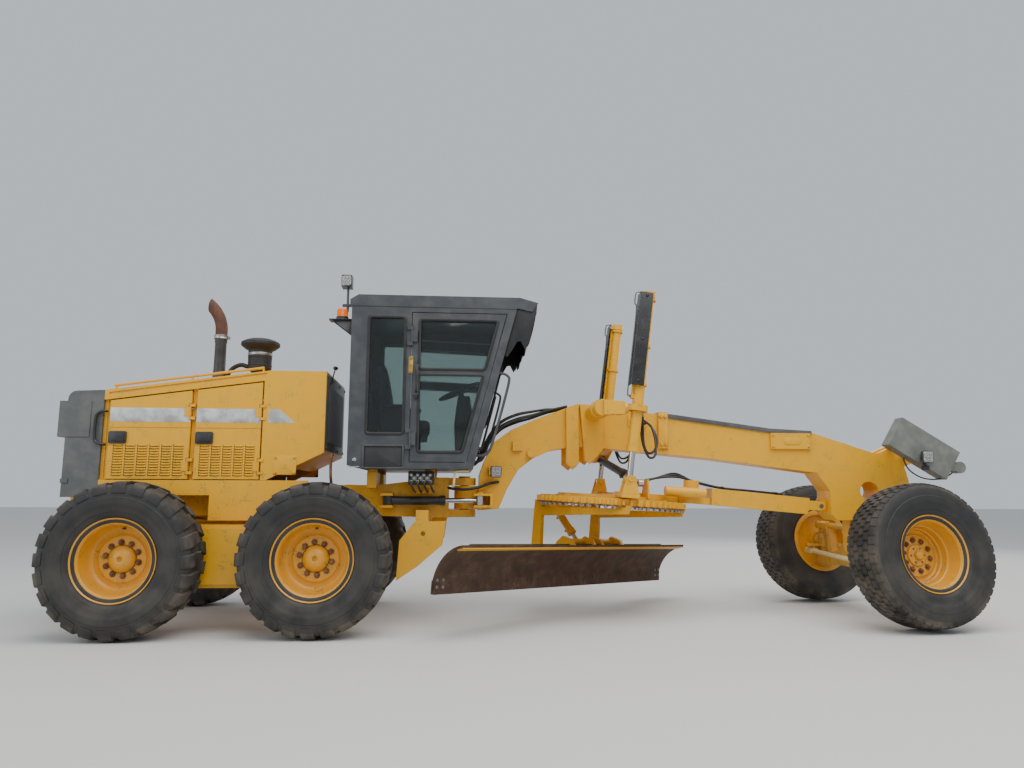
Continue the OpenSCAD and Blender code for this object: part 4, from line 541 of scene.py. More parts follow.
def two_rubbers(tyre, place, turn, tread_from=0.612):
    """Faces whose middle lies nearer the axle than tread_from are clean sidewall, the rest dusty tread."""
    tyre.data.materials.append(finish["side_rubber"])
    middles = np.empty(3 * len(tyre.data.polygons))
    tyre.data.polygons.foreach_get("center", middles)
    local = (middles.reshape(-1, 3) - place) @ turn
    inside = np.hypot(local[:, 0], local[:, 2]) < tread_from
    tyre.data.polygons.foreach_set("material_index", inside.astype(np.int32))


def carcass(outline):
    """The smooth body of a tyre, closed inside, turned from the outline of its outer side."""
    return turned(mirrored(np.vstack([inner_outline, outline])), TURNING_STEPS)


def dress_tyre(wheel, parts):
    """Joins a tyre's parts into one skin that stands for the solid tyre on its wheel."""
    place, turn = wheel_place(f"wheel_{wheel}_spin")
    points, faces = join_parts(parts)
    tyre = place_mesh(f"tyre_skin_{wheel}", put(points, place, turn), faces, "tread_rubber",
                      f"wheel_{wheel}", 40)
    two_rubbers(tyre, place, turn)
    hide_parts(f"tyre_{wheel}")
    return len(faces)


BARS, BLOCKS, BLOCK_ROWS = 24, 48, 6
for wheel in ("right_rear", "right_mid", "left_rear", "left_mid"):
    count = dress_tyre(wheel, [carcass(side_outline), tread_bars(BARS, 1, 0.0), tread_bars(BARS, -1, 0.5)])
print("rear tyre with", count, "faces")

# %% [markdown]
# The front tyres have rows of small blocks. Each block is a frustum whose top follows the
# crown of the tyre; neighbouring rows are shifted by part of a step.

# %% Front tyres
def tread_blocks(count, rows, shift, low=0.016):
    """Blocks in rows across the tyre: angle and station step over a grid, the top at outer_line's
    radius, the foot lower and a little wider."""
    parts = []
    edges = np.linspace(-0.196, 0.196, rows + 1)
    pitch = 2 * np.pi / count
    corner = np.array([(-1, -1), (1, -1), (1, 1), (-1, 1)], float)
    for row in range(rows):
        middle, half_y = (edges[row] + edges[row + 1]) / 2, (edges[row + 1] - edges[row]) / 2 - 0.004
        level = []
        for depth, grow in ((low, 1.05), (0.003, 1.0), (0.0, 0.92)):
            y = middle + half_y * grow * corner[:, 1]
            crown = np.interp(np.abs(y), [0, 0.10, 0.165, 0.200, 0.2145],
                              [0.675, 0.672, 0.664, 0.645, 0.615])
            angle = pitch * (np.arange(count)[:, None] + shift * row + 0.37 * grow * corner[None, :, 0])
            out = (crown - depth)[None, :]
            level.append(np.stack([out * np.cos(angle), np.broadcast_to(y, angle.shape),
                                   out * np.sin(angle)], -1))
        points = np.stack(level, 1).reshape(-1, 3)
        block = grid_faces(3, 4, False, True) + [[8, 9, 10, 11], [3, 2, 1, 0]]
        parts.append((points, copied_faces(block, count, 12)))
    return join_parts(parts)


front_outline = side_outline.copy()
crown = np.interp(front_outline[:, 0], [0, 0.14, 0.172, 0.193, 0.206], [0.661, 0.658, 0.650, 0.635, 0.606])
front_outline[:, 1] = np.where(front_outline[:, 1] > 0.60, crown, front_outline[:, 1])
for wheel in ("right_front", "left_front"):
    count = dress_tyre(wheel, [carcass(front_outline), tread_blocks(BLOCKS, BLOCK_ROWS, 0.5)])
print("front tyre with", count, "faces")

# %% [markdown]
# A rim is one deep dish: a rolled lip with a lock ring in its gutter, a barrel, and a plate that
# ten studs hold to the hub. The whole dish is turned from one outline, and the nuts, washers and
# stud ends stand on the plate in a circle.

# %% Rims
NUT_CIRCLE, NUT_COUNT = 0.144, 10
CAP_CIRCLE, CAP_BOLTS = 0.072, 6


def ring_of(count, radius, points, faces, start=0.0):
    """Copies of a small shape, each turned about the axle and moved out to a radius."""
    angle = start + np.arange(count) * 2 * np.pi / count
    c, s = np.cos(angle)[:, None], np.sin(angle)[:, None]
    x = c * (points[:, 0] + radius) - s * points[:, 2]
    z = s * (points[:, 0] + radius) + c * points[:, 2]
    y = np.broadcast_to(points[:, 1], x.shape)
    return np.stack([x, y, z], -1).reshape(-1, 3), copied_faces(faces, count, len(points))


def nut(width, height, stud=0.0):
    """A six-sided nut with a chamfered crown on a washer; its stud end stands out of it."""
    outline = [(-0.004, 0.0), (-0.004, width * 0.78), (0.003, width * 0.78), (0.004, width * 0.60)]
    washer = turned(outline, 16, False)
    crown = turned([(0.003, 0.0), (0.003, width * 0.56), (height * 0.85, width * 0.56),
                    (height, width * 0.47), (height, 0.0)], 6, False)
    parts = [washer, crown]
    if stud:
        parts.append(turned([(height * 0.5, 0.0), (height * 0.5, width * 0.26),
                             (height + stud * 0.8, width * 0.26), (height + stud, width * 0.20),
                             (height + stud, 0.0)], 10, False))
    return join_parts(parts)


lip_outline = [(0.150, 0.3015), (0.156, 0.3075), (0.163, 0.3085), (0.168, 0.3140), (0.1725, 0.3300),
               (0.1800, 0.3470), (0.1860, 0.3520), (0.1895, 0.3560), (0.1885, 0.3592), (0.1840, 0.3595),
               (0.1795, 0.3560), (0.1760, 0.3450), (0.1745, 0.3250), (0.1700, 0.3170), (-0.1700, 0.3170),
               (-0.1745, 0.3250), (-0.1780, 0.3480), (-0.1830, 0.3585), (-0.1880, 0.3560),
               (-0.1870, 0.3400), (-0.1760, 0.3060), (-0.1600, 0.3035)]
rear_plate = [(0.030, 0.0), (0.030, 0.018), (0.052, 0.024), (0.056, 0.034), (0.051, 0.055), (0.036, 0.085),
              (0.014, 0.108), (0.004, 0.1155), (-0.010, 0.1165), (-0.018, 0.1185), (-0.018, 0.1225),
              (-0.008, 0.1240), (-0.0065, 0.1700), (-0.008, 0.2000), (-0.015, 0.2080), (-0.022, 0.2300),
              (-0.0225, 0.2520), (-0.014, 0.2680), (0.004, 0.2810), (0.024, 0.2900), (0.060, 0.2955),
              (0.110, 0.2985)]
rear_back = [(-0.0700, 0.3020), (-0.0450, 0.2900), (-0.0380, 0.2300), (-0.0340, 0.1500), (-0.0880, 0.1490),
             (-0.0880, 0.0570), (-0.0150, 0.0560), (-0.0150, 0.0)]
front_plate = [(0.0, 0.0), (-0.001, 0.020), (-0.007, 0.036), (-0.020, 0.045), (-0.034, 0.047),
               (-0.038, 0.060), (-0.040, 0.085), (-0.046, 0.098), (-0.0605, 0.1035), (-0.0605, 0.1120),
               (-0.0570, 0.1150), (-0.0565, 0.1720), (-0.0590, 0.1950), (-0.0700, 0.2040),
               (-0.0740, 0.2250), (-0.0660, 0.2380), (-0.0400, 0.2440), (-0.0300, 0.2560),
               (-0.0060, 0.2640), (0.0200, 0.2680), (0.0280, 0.2800), (0.0500, 0.2900), (0.1100, 0.2975)]
front_back = [(-0.1200, 0.3020), (-0.0950, 0.2900), (-0.0880, 0.2300), (-0.0840, 0.1080), (-0.1380, 0.1060),
              (-0.1380, 0.0570), (-0.0650, 0.0560), (-0.0650, 0.0)]
stud_nut = nut(0.036, 0.026, 0.012)
for wheel in ("right_rear", "right_mid", "left_rear", "left_mid", "right_front", "left_front"):
    place, turn = wheel_place(f"wheel_{wheel}_spin")
    front = wheel.endswith("front")
    face, back, level = (front_plate, front_back, -0.0565) if front else (rear_plate, rear_back, -0.0065)
    dish = turned(face + lip_outline + back, 96, False)
    rim = place_mesh(f"rim_skin_{wheel}", put(dish[0], place, turn), dish[1], "rim_yellow",
                     f"wheel_{wheel}", 28)
    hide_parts(f"rim_{wheel}")
    studs = ring_of(NUT_COUNT, NUT_CIRCLE, stud_nut[0] + (0, level, 0), stud_nut[1], 0.2)
    parts = [studs]
    if front:
        cap_bolt = nut(0.013, 0.008)
        parts.append(ring_of(CAP_BOLTS, CAP_CIRCLE, cap_bolt[0] + (0, -0.040, 0), cap_bolt[1]))
    points, faces = join_parts(parts)
    place_mesh(f"wheel_nuts_{wheel}", put(points, place, turn), faces, "rust_nuts", f"wheel_{wheel}", 30)
    stem = turned([(-0.012, 0.0), (-0.012, 0.011), (0.004, 0.011), (0.006, 0.0065), (0.030, 0.0055),
                   (0.031, 0.0075), (0.043, 0.0075), (0.044, 0.0)], 12, False)
    place_mesh(f"valve_{wheel}", put(stem[0] + (0, level - 0.006, 0.262), place, turn), stem[1],
               "black_steel", f"wheel_{wheel}", 30)
print("rim with", len(dish[1]), "faces and", NUT_COUNT, "nuts")

# %% [markdown]
# Most small metal on a machine is one of three things: a pressed plate, a bent tube, or a row of
# bolts. A plate is an outline lifted in steps, each step drawn in a little, so its edge is round.
# A tube is a circle carried along a smooth path. A bolt is one turned shape, copied and aimed.

# %% Plates
REAR_AXLE_X = -2.790


def spot(x, y, z):
    """A place measured from below the rear wheels' middle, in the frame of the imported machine."""
    return np.array([x + REAR_AXLE_X, y, z])


def spots(xs, ys, zs):
    """Every place whose x, y and z come from three lists, as spot gives it."""
    return [spot(x, y, z) for x in xs for y in ys for z in zs]


def side_stops(side, route):
    """The places of a route of (x, y, z) on one side of the machine; y counts outwards."""
    return [spot(x, side * y, z) for x, y, z in route]


def rounded_box(x0, x1, z0, z1, radius, steps=4):
    """A rectangle whose corners are quarter circles of the given radius, anticlockwise."""
    quarter = np.linspace(0, np.pi / 2, steps + 1)
    left, right, low, high = x0 + radius, x1 - radius, z0 + radius, z1 - radius
    corners = []
    for k, (x, z) in enumerate([(right, high), (left, high), (left, low), (right, low)]):
        angle = quarter + k * np.pi / 2
        corners.append(np.stack([x + radius * np.cos(angle), z + radius * np.sin(angle)], -1))
    return np.vstack(corners)


def drawn_in(outline, inset):
    """Every edge of a closed outline moved inwards by inset; corners move along their mitre."""
    ahead = np.roll(outline, -1, 0) - outline
    ahead /= np.linalg.norm(ahead, axis=1, keepdims=True)
    back = np.roll(ahead, 1, 0)
    normal = np.stack([-ahead[:, 1], ahead[:, 0]], -1)
    before = np.stack([-back[:, 1], back[:, 0]], -1)
    mitre = normal + before
    length = np.maximum((mitre * normal).sum(1, keepdims=True), 0.5)
    return outline + inset * mitre / length


def stacked_rings(outline, levels, origin, across, up):
    """An outline in the plane of across and up, repeated at each (height, inset) level along the
    plane's normal. It runs anticlockwise: twice its area is the sum of x0 y1 - x1 y0."""
    outline = np.asarray(outline, float)
    after = np.roll(outline, -1, 0)
    if (outline[:, 0] * after[:, 1] - after[:, 0] * outline[:, 1]).sum() < 0:
        outline = outline[::-1]
    across, up = np.asarray(across, float), np.asarray(up, float)
    normal = np.cross(across, up)
    rings = []
    for height, inset in levels:
        flat = drawn_in(outline, inset)
        rings.append(np.asarray(origin) + flat[:, :1] * across + flat[:, 1:] * up + height * normal)
    return np.vstack(rings)


def end_faces(rings, count):
    """The first ring backwards and the last ring, which close a stack of rings of count points."""
    return [list(range(count))[::-1], [(rings - 1) * count + i for i in range(count)]]


def pressed(outline, levels, origin, across, up):
    """A stack of rings of an outline, with a face at both ends."""
    faces = grid_faces(len(levels), len(outline), False, True) + end_faces(len(levels), len(outline))
    return stacked_rings(outline, levels, origin, across, up), faces


def plate(outline, thick, origin, across, up, edge=0.0015):
    """A flat plate with a soft outer edge."""
    return pressed(outline, [(0, 0), (thick - edge, 0), (thick - edge * 0.3, edge * 0.3), (thick, edge)],
                   origin, across, up)


def side_faces(side):
    """The directions across and up that make a plate on the machine's side face outwards."""
    return ((1, 0, 0), (0, 0, 1)) if side < 0 else ((-1, 0, 0), (0, 0, 1))


def side_plate(outline_xz, side, y, thick, edge=0.0015):
    """A plate on the machine's side: its outline is in (x, z) from the rear wheels' middle."""
    across, up = side_faces(side)
    flat = np.asarray(outline_xz, float) * (across[0], 1) + (across[0] * REAR_AXLE_X, 0)
    return plate(flat, thick, (0, side * y, 0), across, up, edge)


# %% [markdown]
# A tube needs a smooth path. Between two stops the path is a cubic whose slope at each stop is
# half the way from the stop before to the stop after.

# %% Tubes
def smooth_path(stops, steps=6):
    """A curve through the stops: between two of them a cubic whose slopes come from their neighbours."""
    stops = np.asarray(stops, float)
    ends = np.vstack([2 * stops[0] - stops[1], stops, 2 * stops[-1] - stops[-2]])
    t = np.linspace(0, 1, steps, endpoint=False)[None, :, None]
    a, b, c, d = (ends[k:len(ends) - 3 + k][:, None] for k in range(4))
    square, cube = 2 * a - 5 * b + 4 * c - d, 3 * b - a - 3 * c + d
    inside = 0.5 * (2 * b + (c - a) * t + square * t ** 2 + cube * t ** 3)
    return np.vstack([inside.reshape(-1, stops.shape[1]), stops[-1:]])


def tube(path, radius, sides=10, rings=None):
    """A circle carried along a path. rings may hold (share of the way, radius) pairs for collars."""
    path = np.asarray(path, float)
    tangent = np.gradient(path, axis=0)
    tangent /= np.linalg.norm(tangent, axis=1, keepdims=True)
    whole = path[-1] - path[0]
    guide = np.eye(3)[np.argmin(np.abs(tangent).max(0) + 0.01 * np.abs(whole))]
    side = np.cross(tangent, guide)
    side /= np.linalg.norm(side, axis=1, keepdims=True)
    over = np.cross(side, tangent)
    way = np.linspace(0, 1, len(path))
    out = np.interp(way, *np.array(rings).T) if rings else np.full(len(path), radius)
    angle = np.linspace(0, 2 * np.pi, sides, endpoint=False)
    points = path[:, None] + out[:, None, None] * (
        np.cos(angle)[None, :, None] * side[:, None] + np.sin(angle)[None, :, None] * over[:, None])
    return points.reshape(-1, 3), grid_faces(len(path), sides, False, True) + end_faces(len(path), sides)


# %% [markdown]
# A bolt or fitting is turned once, about +Y, and then copied to its places and aimed.

# %% Bolts and turned fittings
def aimed(shape, places, axis):
    """Copies of a shape turned about +Y, moved to each place with +Y along axis."""
    points, faces = shape
    axis = np.asarray(axis, float) / np.linalg.norm(axis)
    guide = np.eye(3)[np.argmin(np.abs(axis))]
    first = np.cross(axis, guide)
    first /= np.linalg.norm(first)
    turn = np.array([first, axis, np.cross(first, axis)]).T
    places = np.atleast_2d(np.asarray(places, float))
    moved = (points @ turn.T)[None] + places[:, None]
    return moved.reshape(-1, 3), copied_faces(faces, len(places), len(points))


small_bolt, big_bolt = nut(0.019, 0.011), nut(0.030, 0.019)
plough_bolt = turned([(-0.004, 0.0), (-0.004, 0.017), (0.001, 0.0165), (0.004, 0.013), (0.0055, 0.006),
                      (0.006, 0.0)], 14, False)
print("helpers ready")

# %% [markdown]
# The hood's doors carry a faded light stripe, rows of pressed louvres and black paddle latches.
# A louvre is half a shallow scoop, open below, so rain runs off it; here its outline across is
# an arc that leaves the sheet at the top and ends over the slot. The stripe is thin film, so it is
# a plate one millimetre thick that rides on each door, and on the box in front of them.

# %% Stripe, louvres and latches
HOOD_Y = 0.600
STRIPE_LOW, STRIPE_HIGH = 1.915, 2.047
side_name = {-1: "right", 1: "left"}
door_span = {"rear": (-1.217, -0.473), "front": (-0.421, 0.187)}
door_columns = {"rear": 6, "front": 5}


def louvres(x0, x1, columns, rows, z0, pitch, high, side, y):
    """Scoops in rows: along x the height over the sheet swells as the fourth root of a half circle,
    and from the slot up it falls as a quarter circle."""
    width = (x1 - x0) / columns
    u = np.linspace(-1, 1, 9)
    v = np.linspace(0, 1, 5)
    swell = np.sqrt(np.clip(1 - u ** 4, 0, 1))
    flat_x = u * (width / 2 - 0.010)
    rise = np.sqrt(np.clip(1 - v ** 2, 0, 1))
    height = 0.0005 + 0.0075 * swell[None, :] * rise[:, None]
    one = np.stack([np.broadcast_to(flat_x, height.shape), side * (y + height),
                    np.broadcast_to(v[:, None] * high, height.shape)], -1)
    back = one.copy()
    back[..., 1] = side * (y - 0.001)
    cell = np.concatenate([one, back], 0).reshape(-1, 3)
    faces = grid_faces(10, 9, True, False) + [[r * 9 for r in range(10)],
                                              [r * 9 + 8 for r in range(10)][::-1]]
    places = np.array([(x0 + (i + 0.5) * width + REAR_AXLE_X, 0, z0 + j * pitch)
                       for i in range(columns) for j in range(rows)])
    points = (cell[None] + places[:, None]).reshape(-1, 3)
    return points, copied_faces(faces, len(places), len(cell))


GRAB_ROUTE = [(-1.240, 0.598, 1.697), (-1.268, 0.622, 1.697), (-1.315, 0.622, 1.715),
              (-1.335, 0.622, 1.765), (-1.335, 0.622, 1.940), (-1.315, 0.622, 1.990),
              (-1.268, 0.622, 2.010), (-1.240, 0.598, 2.010)]
for side in (-1, 1):
    hand = side_name[side]
    for place, (x0, x1) in door_span.items():
        body = f"hood_door_{hand}_{place}"
        band = side_plate([(x0 + 0.002, STRIPE_LOW), (x1 - 0.002, STRIPE_LOW), (x1 - 0.002, STRIPE_HIGH),
                           (x0 + 0.002, STRIPE_HIGH)], side, HOOD_Y + 0.0002, 0.0012, 0.0004)
        place_mesh(f"stripe_{hand}_{place}", *band, "stripe_white", body)
        scoops = louvres(x0 + 0.040, x1 - 0.040, door_columns[place], 12, 1.409, 0.025, 0.016, side, HOOD_Y)
        place_mesh(f"louvres_{hand}_{place}", *scoops, "frame_yellow", body, 50)
        bezel = side_plate(rounded_box(x0 + 0.004, x0 + 0.168, 1.707, 1.823, 0.016), side, HOOD_Y + 0.001,
                           0.0165, 0.003)
        paddle = side_plate(rounded_box(x0 + 0.030, x0 + 0.150, 1.727, 1.803, 0.012), side, HOOD_Y + 0.017,
                            0.009, 0.004)
        place_mesh(f"latch_{hand}_{place}", *join_parts([bezel, paddle]), "black_steel", body)
    nose = side_plate([(0.254, STRIPE_LOW), (0.503, STRIPE_LOW), (0.356, STRIPE_HIGH),
                       (0.254, STRIPE_HIGH)],
                      side, HOOD_Y - 0.0008, 0.0012, 0.0004)
    place_mesh(f"stripe_{hand}_nose", *nose, "stripe_white", "rear")
    cover = side_plate(rounded_box(0.322, 0.535, 1.420, 1.600, 0.012), side, HOOD_Y - 0.001, 0.005, 0.002)
    bolts = aimed(small_bolt, spots((0.340, 0.517), [side * (HOOD_Y + 0.003)], (1.438, 1.582)),
                  (0, side, 0))
    place_mesh(f"cover_{hand}", *join_parts([cover, bolts]), "frame_yellow", "rear")
    grab = smooth_path(side_stops(side, GRAB_ROUTE))
    place_mesh(f"grab_bar_{hand}", *tube(grab, 0.013, 10), "black_steel", "rear")
print("hood dressed")

# %% [markdown]
# The cab is a welded box with large panes held by rubber gaskets. The fixed panes are in the
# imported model; the two panes of each door ride on the door. A gasket is a band with a round edge
# that follows the rim of its opening, made of four rings: outside low, outside high, inside high
# and inside low.

# %% Panes and gaskets
CAB_OUT, ROOF_LOW = 0.750, 3.060
CAB_REAR, CAB_KNEE, CAB_FRONT, CAB_LOW = 1.030, 2.220, 2.640, 1.480
CAB_POST, CAB_DOOR = 1.590, 1.610


def cab_front(z):
    """Station of the slanted windscreen at a height."""
    return CAB_KNEE + (CAB_FRONT - CAB_KNEE) * (z - CAB_LOW) / (ROOF_LOW - CAB_LOW)


def slanted(x0, z0, z1, margin):
    """An opening with an upright rear edge and a front edge that runs along the windscreen."""
    return np.array([(x0, z0), (cab_front(z0) - margin, z0), (cab_front(z1) - margin, z1), (x0, z1)])


def rounded(outline, radius, steps=4):
    """Each corner of a closed outline replaced by a curve that starts and ends radius before it."""
    outline = np.asarray(outline, float)
    before, after = np.roll(outline, 1, 0), np.roll(outline, -1, 0)
    enter = outline + radius * (before - outline) / np.linalg.norm(before - outline, axis=1, keepdims=True)
    leave = outline + radius * (after - outline) / np.linalg.norm(after - outline, axis=1, keepdims=True)
    t = np.linspace(0, 1, steps + 1)[None, :, None]
    start, middle, end = enter[:, None], outline[:, None], leave[:, None]
    return ((1 - t) ** 2 * start + 2 * t * (1 - t) * middle + t ** 2 * end).reshape(-1, 2)


def band(outline, width, thick, origin, across, up):
    """A flat frame of one width along a closed outline, with its outer and inner edges eased."""
    levels = [(0, 0), (thick * 0.6, 0), (thick, width * 0.15), (thick, width * 0.85), (thick * 0.6, width),
              (0, width)]
    rings = stacked_rings(outline, levels, origin, across, up)
    return rings, grid_faces(len(levels), len(outline), True, True)


def side_band(outline_xz, side, y, width, thick):
    """A band on the machine's side, its outline in (x, z) from the rear wheels' middle."""
    across, up = side_faces(side)
    flat = np.asarray(outline_xz, float) * (across[0], 1) + (across[0] * REAR_AXLE_X, 0)
    return band(flat, width, thick, (0, side * y, 0), across, up)


def gasket(pane, side, y):
    """The rubber round a pane: a band with round corners that overlaps the opening's rim."""
    return side_band(drawn_in(rounded(pane, 0.030), -0.016), side, y, 0.030, 0.0085)


pane_heights = ((1.640, 2.385), (2.440, ROOF_LOW - 0.130))
door_panes = [slanted(CAB_DOOR + 0.080, *heights, 0.150) for heights in pane_heights]
quarter_pane = np.array([(CAB_REAR + 0.170, 1.810), (CAB_POST - 0.040, 1.810),
                         (CAB_POST - 0.040, ROOF_LOW - 0.110), (CAB_REAR + 0.170, ROOF_LOW - 0.110)])
for side in (-1, 1):
    hand = side_name[side]
    body = f"cab_door_{hand}"
    panes = [side_plate(drawn_in(pane, 0.0005), side, CAB_OUT - 0.030, 0.006, 0.001) for pane in door_panes]
    place_mesh(f"door_glass_{hand}", *join_parts(panes), "window_glass", body)
    gaskets = [gasket(pane, side, CAB_OUT - 0.003) for pane in door_panes]
    place_mesh(f"door_gasket_{hand}", *join_parts(gaskets), "hose_rubber", body, 50)
    place_mesh(f"quarter_gasket_{hand}", *gasket(quarter_pane, side, CAB_OUT - 0.001), "hose_rubber",
               "rear", 50)
print("panes and gaskets on both sides")

# %% [markdown]
# Outside the cab hang the things a driver touches and looks with: a bowed grab rail ahead of the
# door, the door's pull handle, and the rails and steps that lead up to it. Here each door gets its
# pull handle: a bowed tube and a round button.

# %% Handles of the cab
PULL_BOW = [(0.014, 2.210), (0.052, 2.235), (0.058, 2.330), (0.052, 2.425), (0.014, 2.450)]
for side in (-1, 1):
    hand = side_name[side]
    pull = smooth_path(side_stops(side, [(1.668, CAB_OUT + out, z) for out, z in PULL_BOW]))
    button = aimed(turned([(0.0, 0.0), (0.0, 0.017), (0.008, 0.017), (0.012, 0.013), (0.012, 0.0)], 16,
                          False),
                   [spot(1.662, side * (CAB_OUT + 0.018), 2.160)], (0, side, 0))
    place_mesh(f"door_pull_{hand}", *join_parts([tube(pull, 0.010, 10), button]), "black_steel",
               f"cab_door_{hand}")
print("handles on")

# %% [markdown]
# The exhaust is three turned or bent pieces: a dark stack that widens at its foot, a clamp, and a
# rusty elbow whose mouth is cut at a slant. A cut is made by sliding each point of the last rings
# along the pipe until it lies in the slanted plane. The air precleaner beside it is one turned
# outline, with a bright band and a domed cap.

# %% Exhaust stack and elbow
def hood_top(x):
    """Height of the hood's top edge at x metres from the rear wheels' middle: a straight line."""
    return 2.215 + (2.425 - 2.215) * (x + 1.280) / 1.530


def standing(outline, x, sides=40, closed=False):
    """A turned outline of (height, radius) pairs stood upright on the hood's centreline at x."""
    points, faces = turned(outline, sides, closed)
    return points[:, [0, 2, 1]] * (1, -1, 1) + spot(x, 0, 0), faces


STACK_X, CLEANER_X = -0.420, -0.010
foot = hood_top(STACK_X) - 0.020
stack = standing([(foot, 0), (foot, 0.081), (foot + 0.030, 0.081), (foot + 0.036, 0.077),
                  (foot + 0.040, 0.070), (foot + 0.12, 0.066), (foot + 0.22, 0.059), (foot + 0.485, 0.057),
                  (foot + 0.495, 0.062), (foot + 0.545, 0.062), (foot + 0.547, 0.055), (foot + 0.20, 0.050),
                  (foot + 0.10, 0)], STACK_X)
place_mesh("exhaust_stack", *stack, "lamp_shell", "rear")

clamp = standing([(foot + 0.530, 0.0625), (foot + 0.530, 0.070), (foot + 0.533, 0.0725),
                  (foot + 0.539, 0.069), (foot + 0.563, 0.069), (foot + 0.569, 0.0725),
                  (foot + 0.572, 0.070), (foot + 0.572, 0.0625)], STACK_X, 40, True)
ear = rounded_box(STACK_X + 0.058, STACK_X + 0.094, foot + 0.533, foot + 0.569, 0.008)
ears = [side_plate(ear, -1, y, 0.005) for y in (-0.010, 0.006)]
screw = aimed(small_bolt, [spot(STACK_X + 0.080, -0.012, foot + 0.551)], (0, -1, 0))
place_mesh("exhaust_clamp", *join_parts([clamp, *ears, screw]), "zinc", "rear")

# %% [markdown]
# The elbow's centreline rises straight and then follows an arc of radius R to the rear. Each ring
# is a circle across the line. On the last stretch the ring leans over further than the line does.

# %% Elbow
BEND_R, BEND_TURN, PIPE_R, BEND_FOOT = 0.360, math.radians(50), 0.061, 0.62
PIPE_SIDES = 40
rise = np.linspace(0.515, BEND_FOOT, 4)[:, None]
sweep = np.linspace(0, BEND_TURN, 22)[1:, None]
line = np.vstack([np.hstack([0 * rise, 0 * rise, rise]),
                  np.hstack([BEND_R * (np.cos(sweep) - 1), 0 * sweep, BEND_FOOT + BEND_R * np.sin(sweep)])])
heading = np.concatenate([np.zeros(4), sweep[:, 0]])
lean = heading + math.radians(30) * np.clip((heading / BEND_TURN - 0.72) / 0.28, 0, 1) ** 2
round_way = np.linspace(0, 2 * np.pi, PIPE_SIDES, endpoint=False)


def elbow_skin(radius):
    """Rings across the line: out = radius (cos a, sin a), the first part leaning with the ring."""
    along = radius * np.cos(round_way)[None, :]
    # a leaning ring is longer across by 1 / cos(lean - heading), so the pipe keeps its width
    longer = along / np.cos(lean - heading)[:, None]
    return np.stack([line[:, :1] + longer * np.cos(lean)[:, None],
                     radius * np.sin(round_way)[None, :] + 0 * along * lean[:, None],
                     line[:, 2:] + longer * np.sin(lean)[:, None]], -1)


outer, inner = elbow_skin(PIPE_R), elbow_skin(PIPE_R - 0.004)[::-1]
skin = np.vstack([outer, inner]).reshape(-1, 3) + spot(STACK_X, 0, foot)
place_mesh("exhaust_elbow", skin, grid_faces(2 * len(line), PIPE_SIDES, True, True), "exhaust_rust", "rear")

# %% [markdown]
# The air precleaner stands on the hood: one turned outline, with two ribs, a bright band round
# its bowl and another round its neck, and six bolts at its foot.

# %% Air precleaner
base = hood_top(CLEANER_X) - 0.020
ribs = [(base + 0.190 + 0.085 * k + rise, 0.120 + out) for k in range(2)
        for rise, out in ((0, 0), (0.003, 0.003), (0.011, 0.003), (0.014, 0))]
cleaner = standing([(base, 0), (base, 0.087), (base + 0.042, 0.087), (base + 0.048, 0.083),
                    (base + 0.050, 0.066), (base + 0.105, 0.064), (base + 0.155, 0.112),
                    (base + 0.166, 0.120)] + ribs +
                   [(base + 0.352, 0.120), (base + 0.366, 0.132), (base + 0.372, 0.150),
                    (base + 0.404, 0.190), (base + 0.412, 0.197), (base + 0.436, 0.197),
                    (base + 0.446, 0.190), (base + 0.462, 0.160), (base + 0.476, 0.122),
                    (base + 0.484, 0.070), (base + 0.486, 0)], CLEANER_X, 56)
shell = place_mesh("air_precleaner", *cleaner, "cab_trim", "rear", 28)
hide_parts("exhaust")
band = standing([(base + 0.300, 0.118), (base + 0.300, 0.1235), (base + 0.303, 0.1245),
                 (base + 0.325, 0.1245), (base + 0.328, 0.1235), (base + 0.328, 0.118)], CLEANER_X, 56,
                True)
neck_band = standing([(base + 0.062, 0.062), (base + 0.062, 0.0685), (base + 0.080, 0.0685),
                      (base + 0.080, 0.062)], CLEANER_X, 40, True)
feet = aimed(small_bolt, spot(CLEANER_X, 0, base + 0.048) + np.array(
    [(0.076 * math.cos(a), 0.076 * math.sin(a), 0) for a in np.arange(6) * math.pi / 3]), (0, 0, 1))
place_mesh("precleaner_bands", *join_parts([band, neck_band, feet]), "zinc", "rear")

# %% [markdown]
# A rubber hose joins the precleaner to the foot of the stack, where the exhaust draws out the
# dust. The length of its path is measured as it is made.

# %% Dust hose
def path_length(path):
    """The length of a path is the sum of the distances between its neighbouring points."""
    return float(np.linalg.norm(np.diff(path, axis=0), axis=1).sum())


def hose(name, stops, diameter, body, steps=7):
    """A round hose along a smooth path from its first stop to its last, both ends on the machine."""
    path = smooth_path(stops, steps)
    piece = place_mesh(name, *tube(path, diameter / 2, 12), "hose_rubber", body)
    return path_length(path)


dust_length = hose("dust_hose", [spot(-0.128, 0, 2.555), spot(-0.20, 0, 2.575), spot(-0.28, 0, 2.540),
                                 spot(-0.335, 0, 2.465), spot(-0.368, 0, 2.395)], 0.046, "rear")
print("dust hose", round(dust_length, 3), "m")

# %% [markdown]
# The front end of the hood is closed by a plain grey sheet with vertical slots, held by bolts
# round its edge. A row of long narrow plates, each raised a little, reads as the slats.

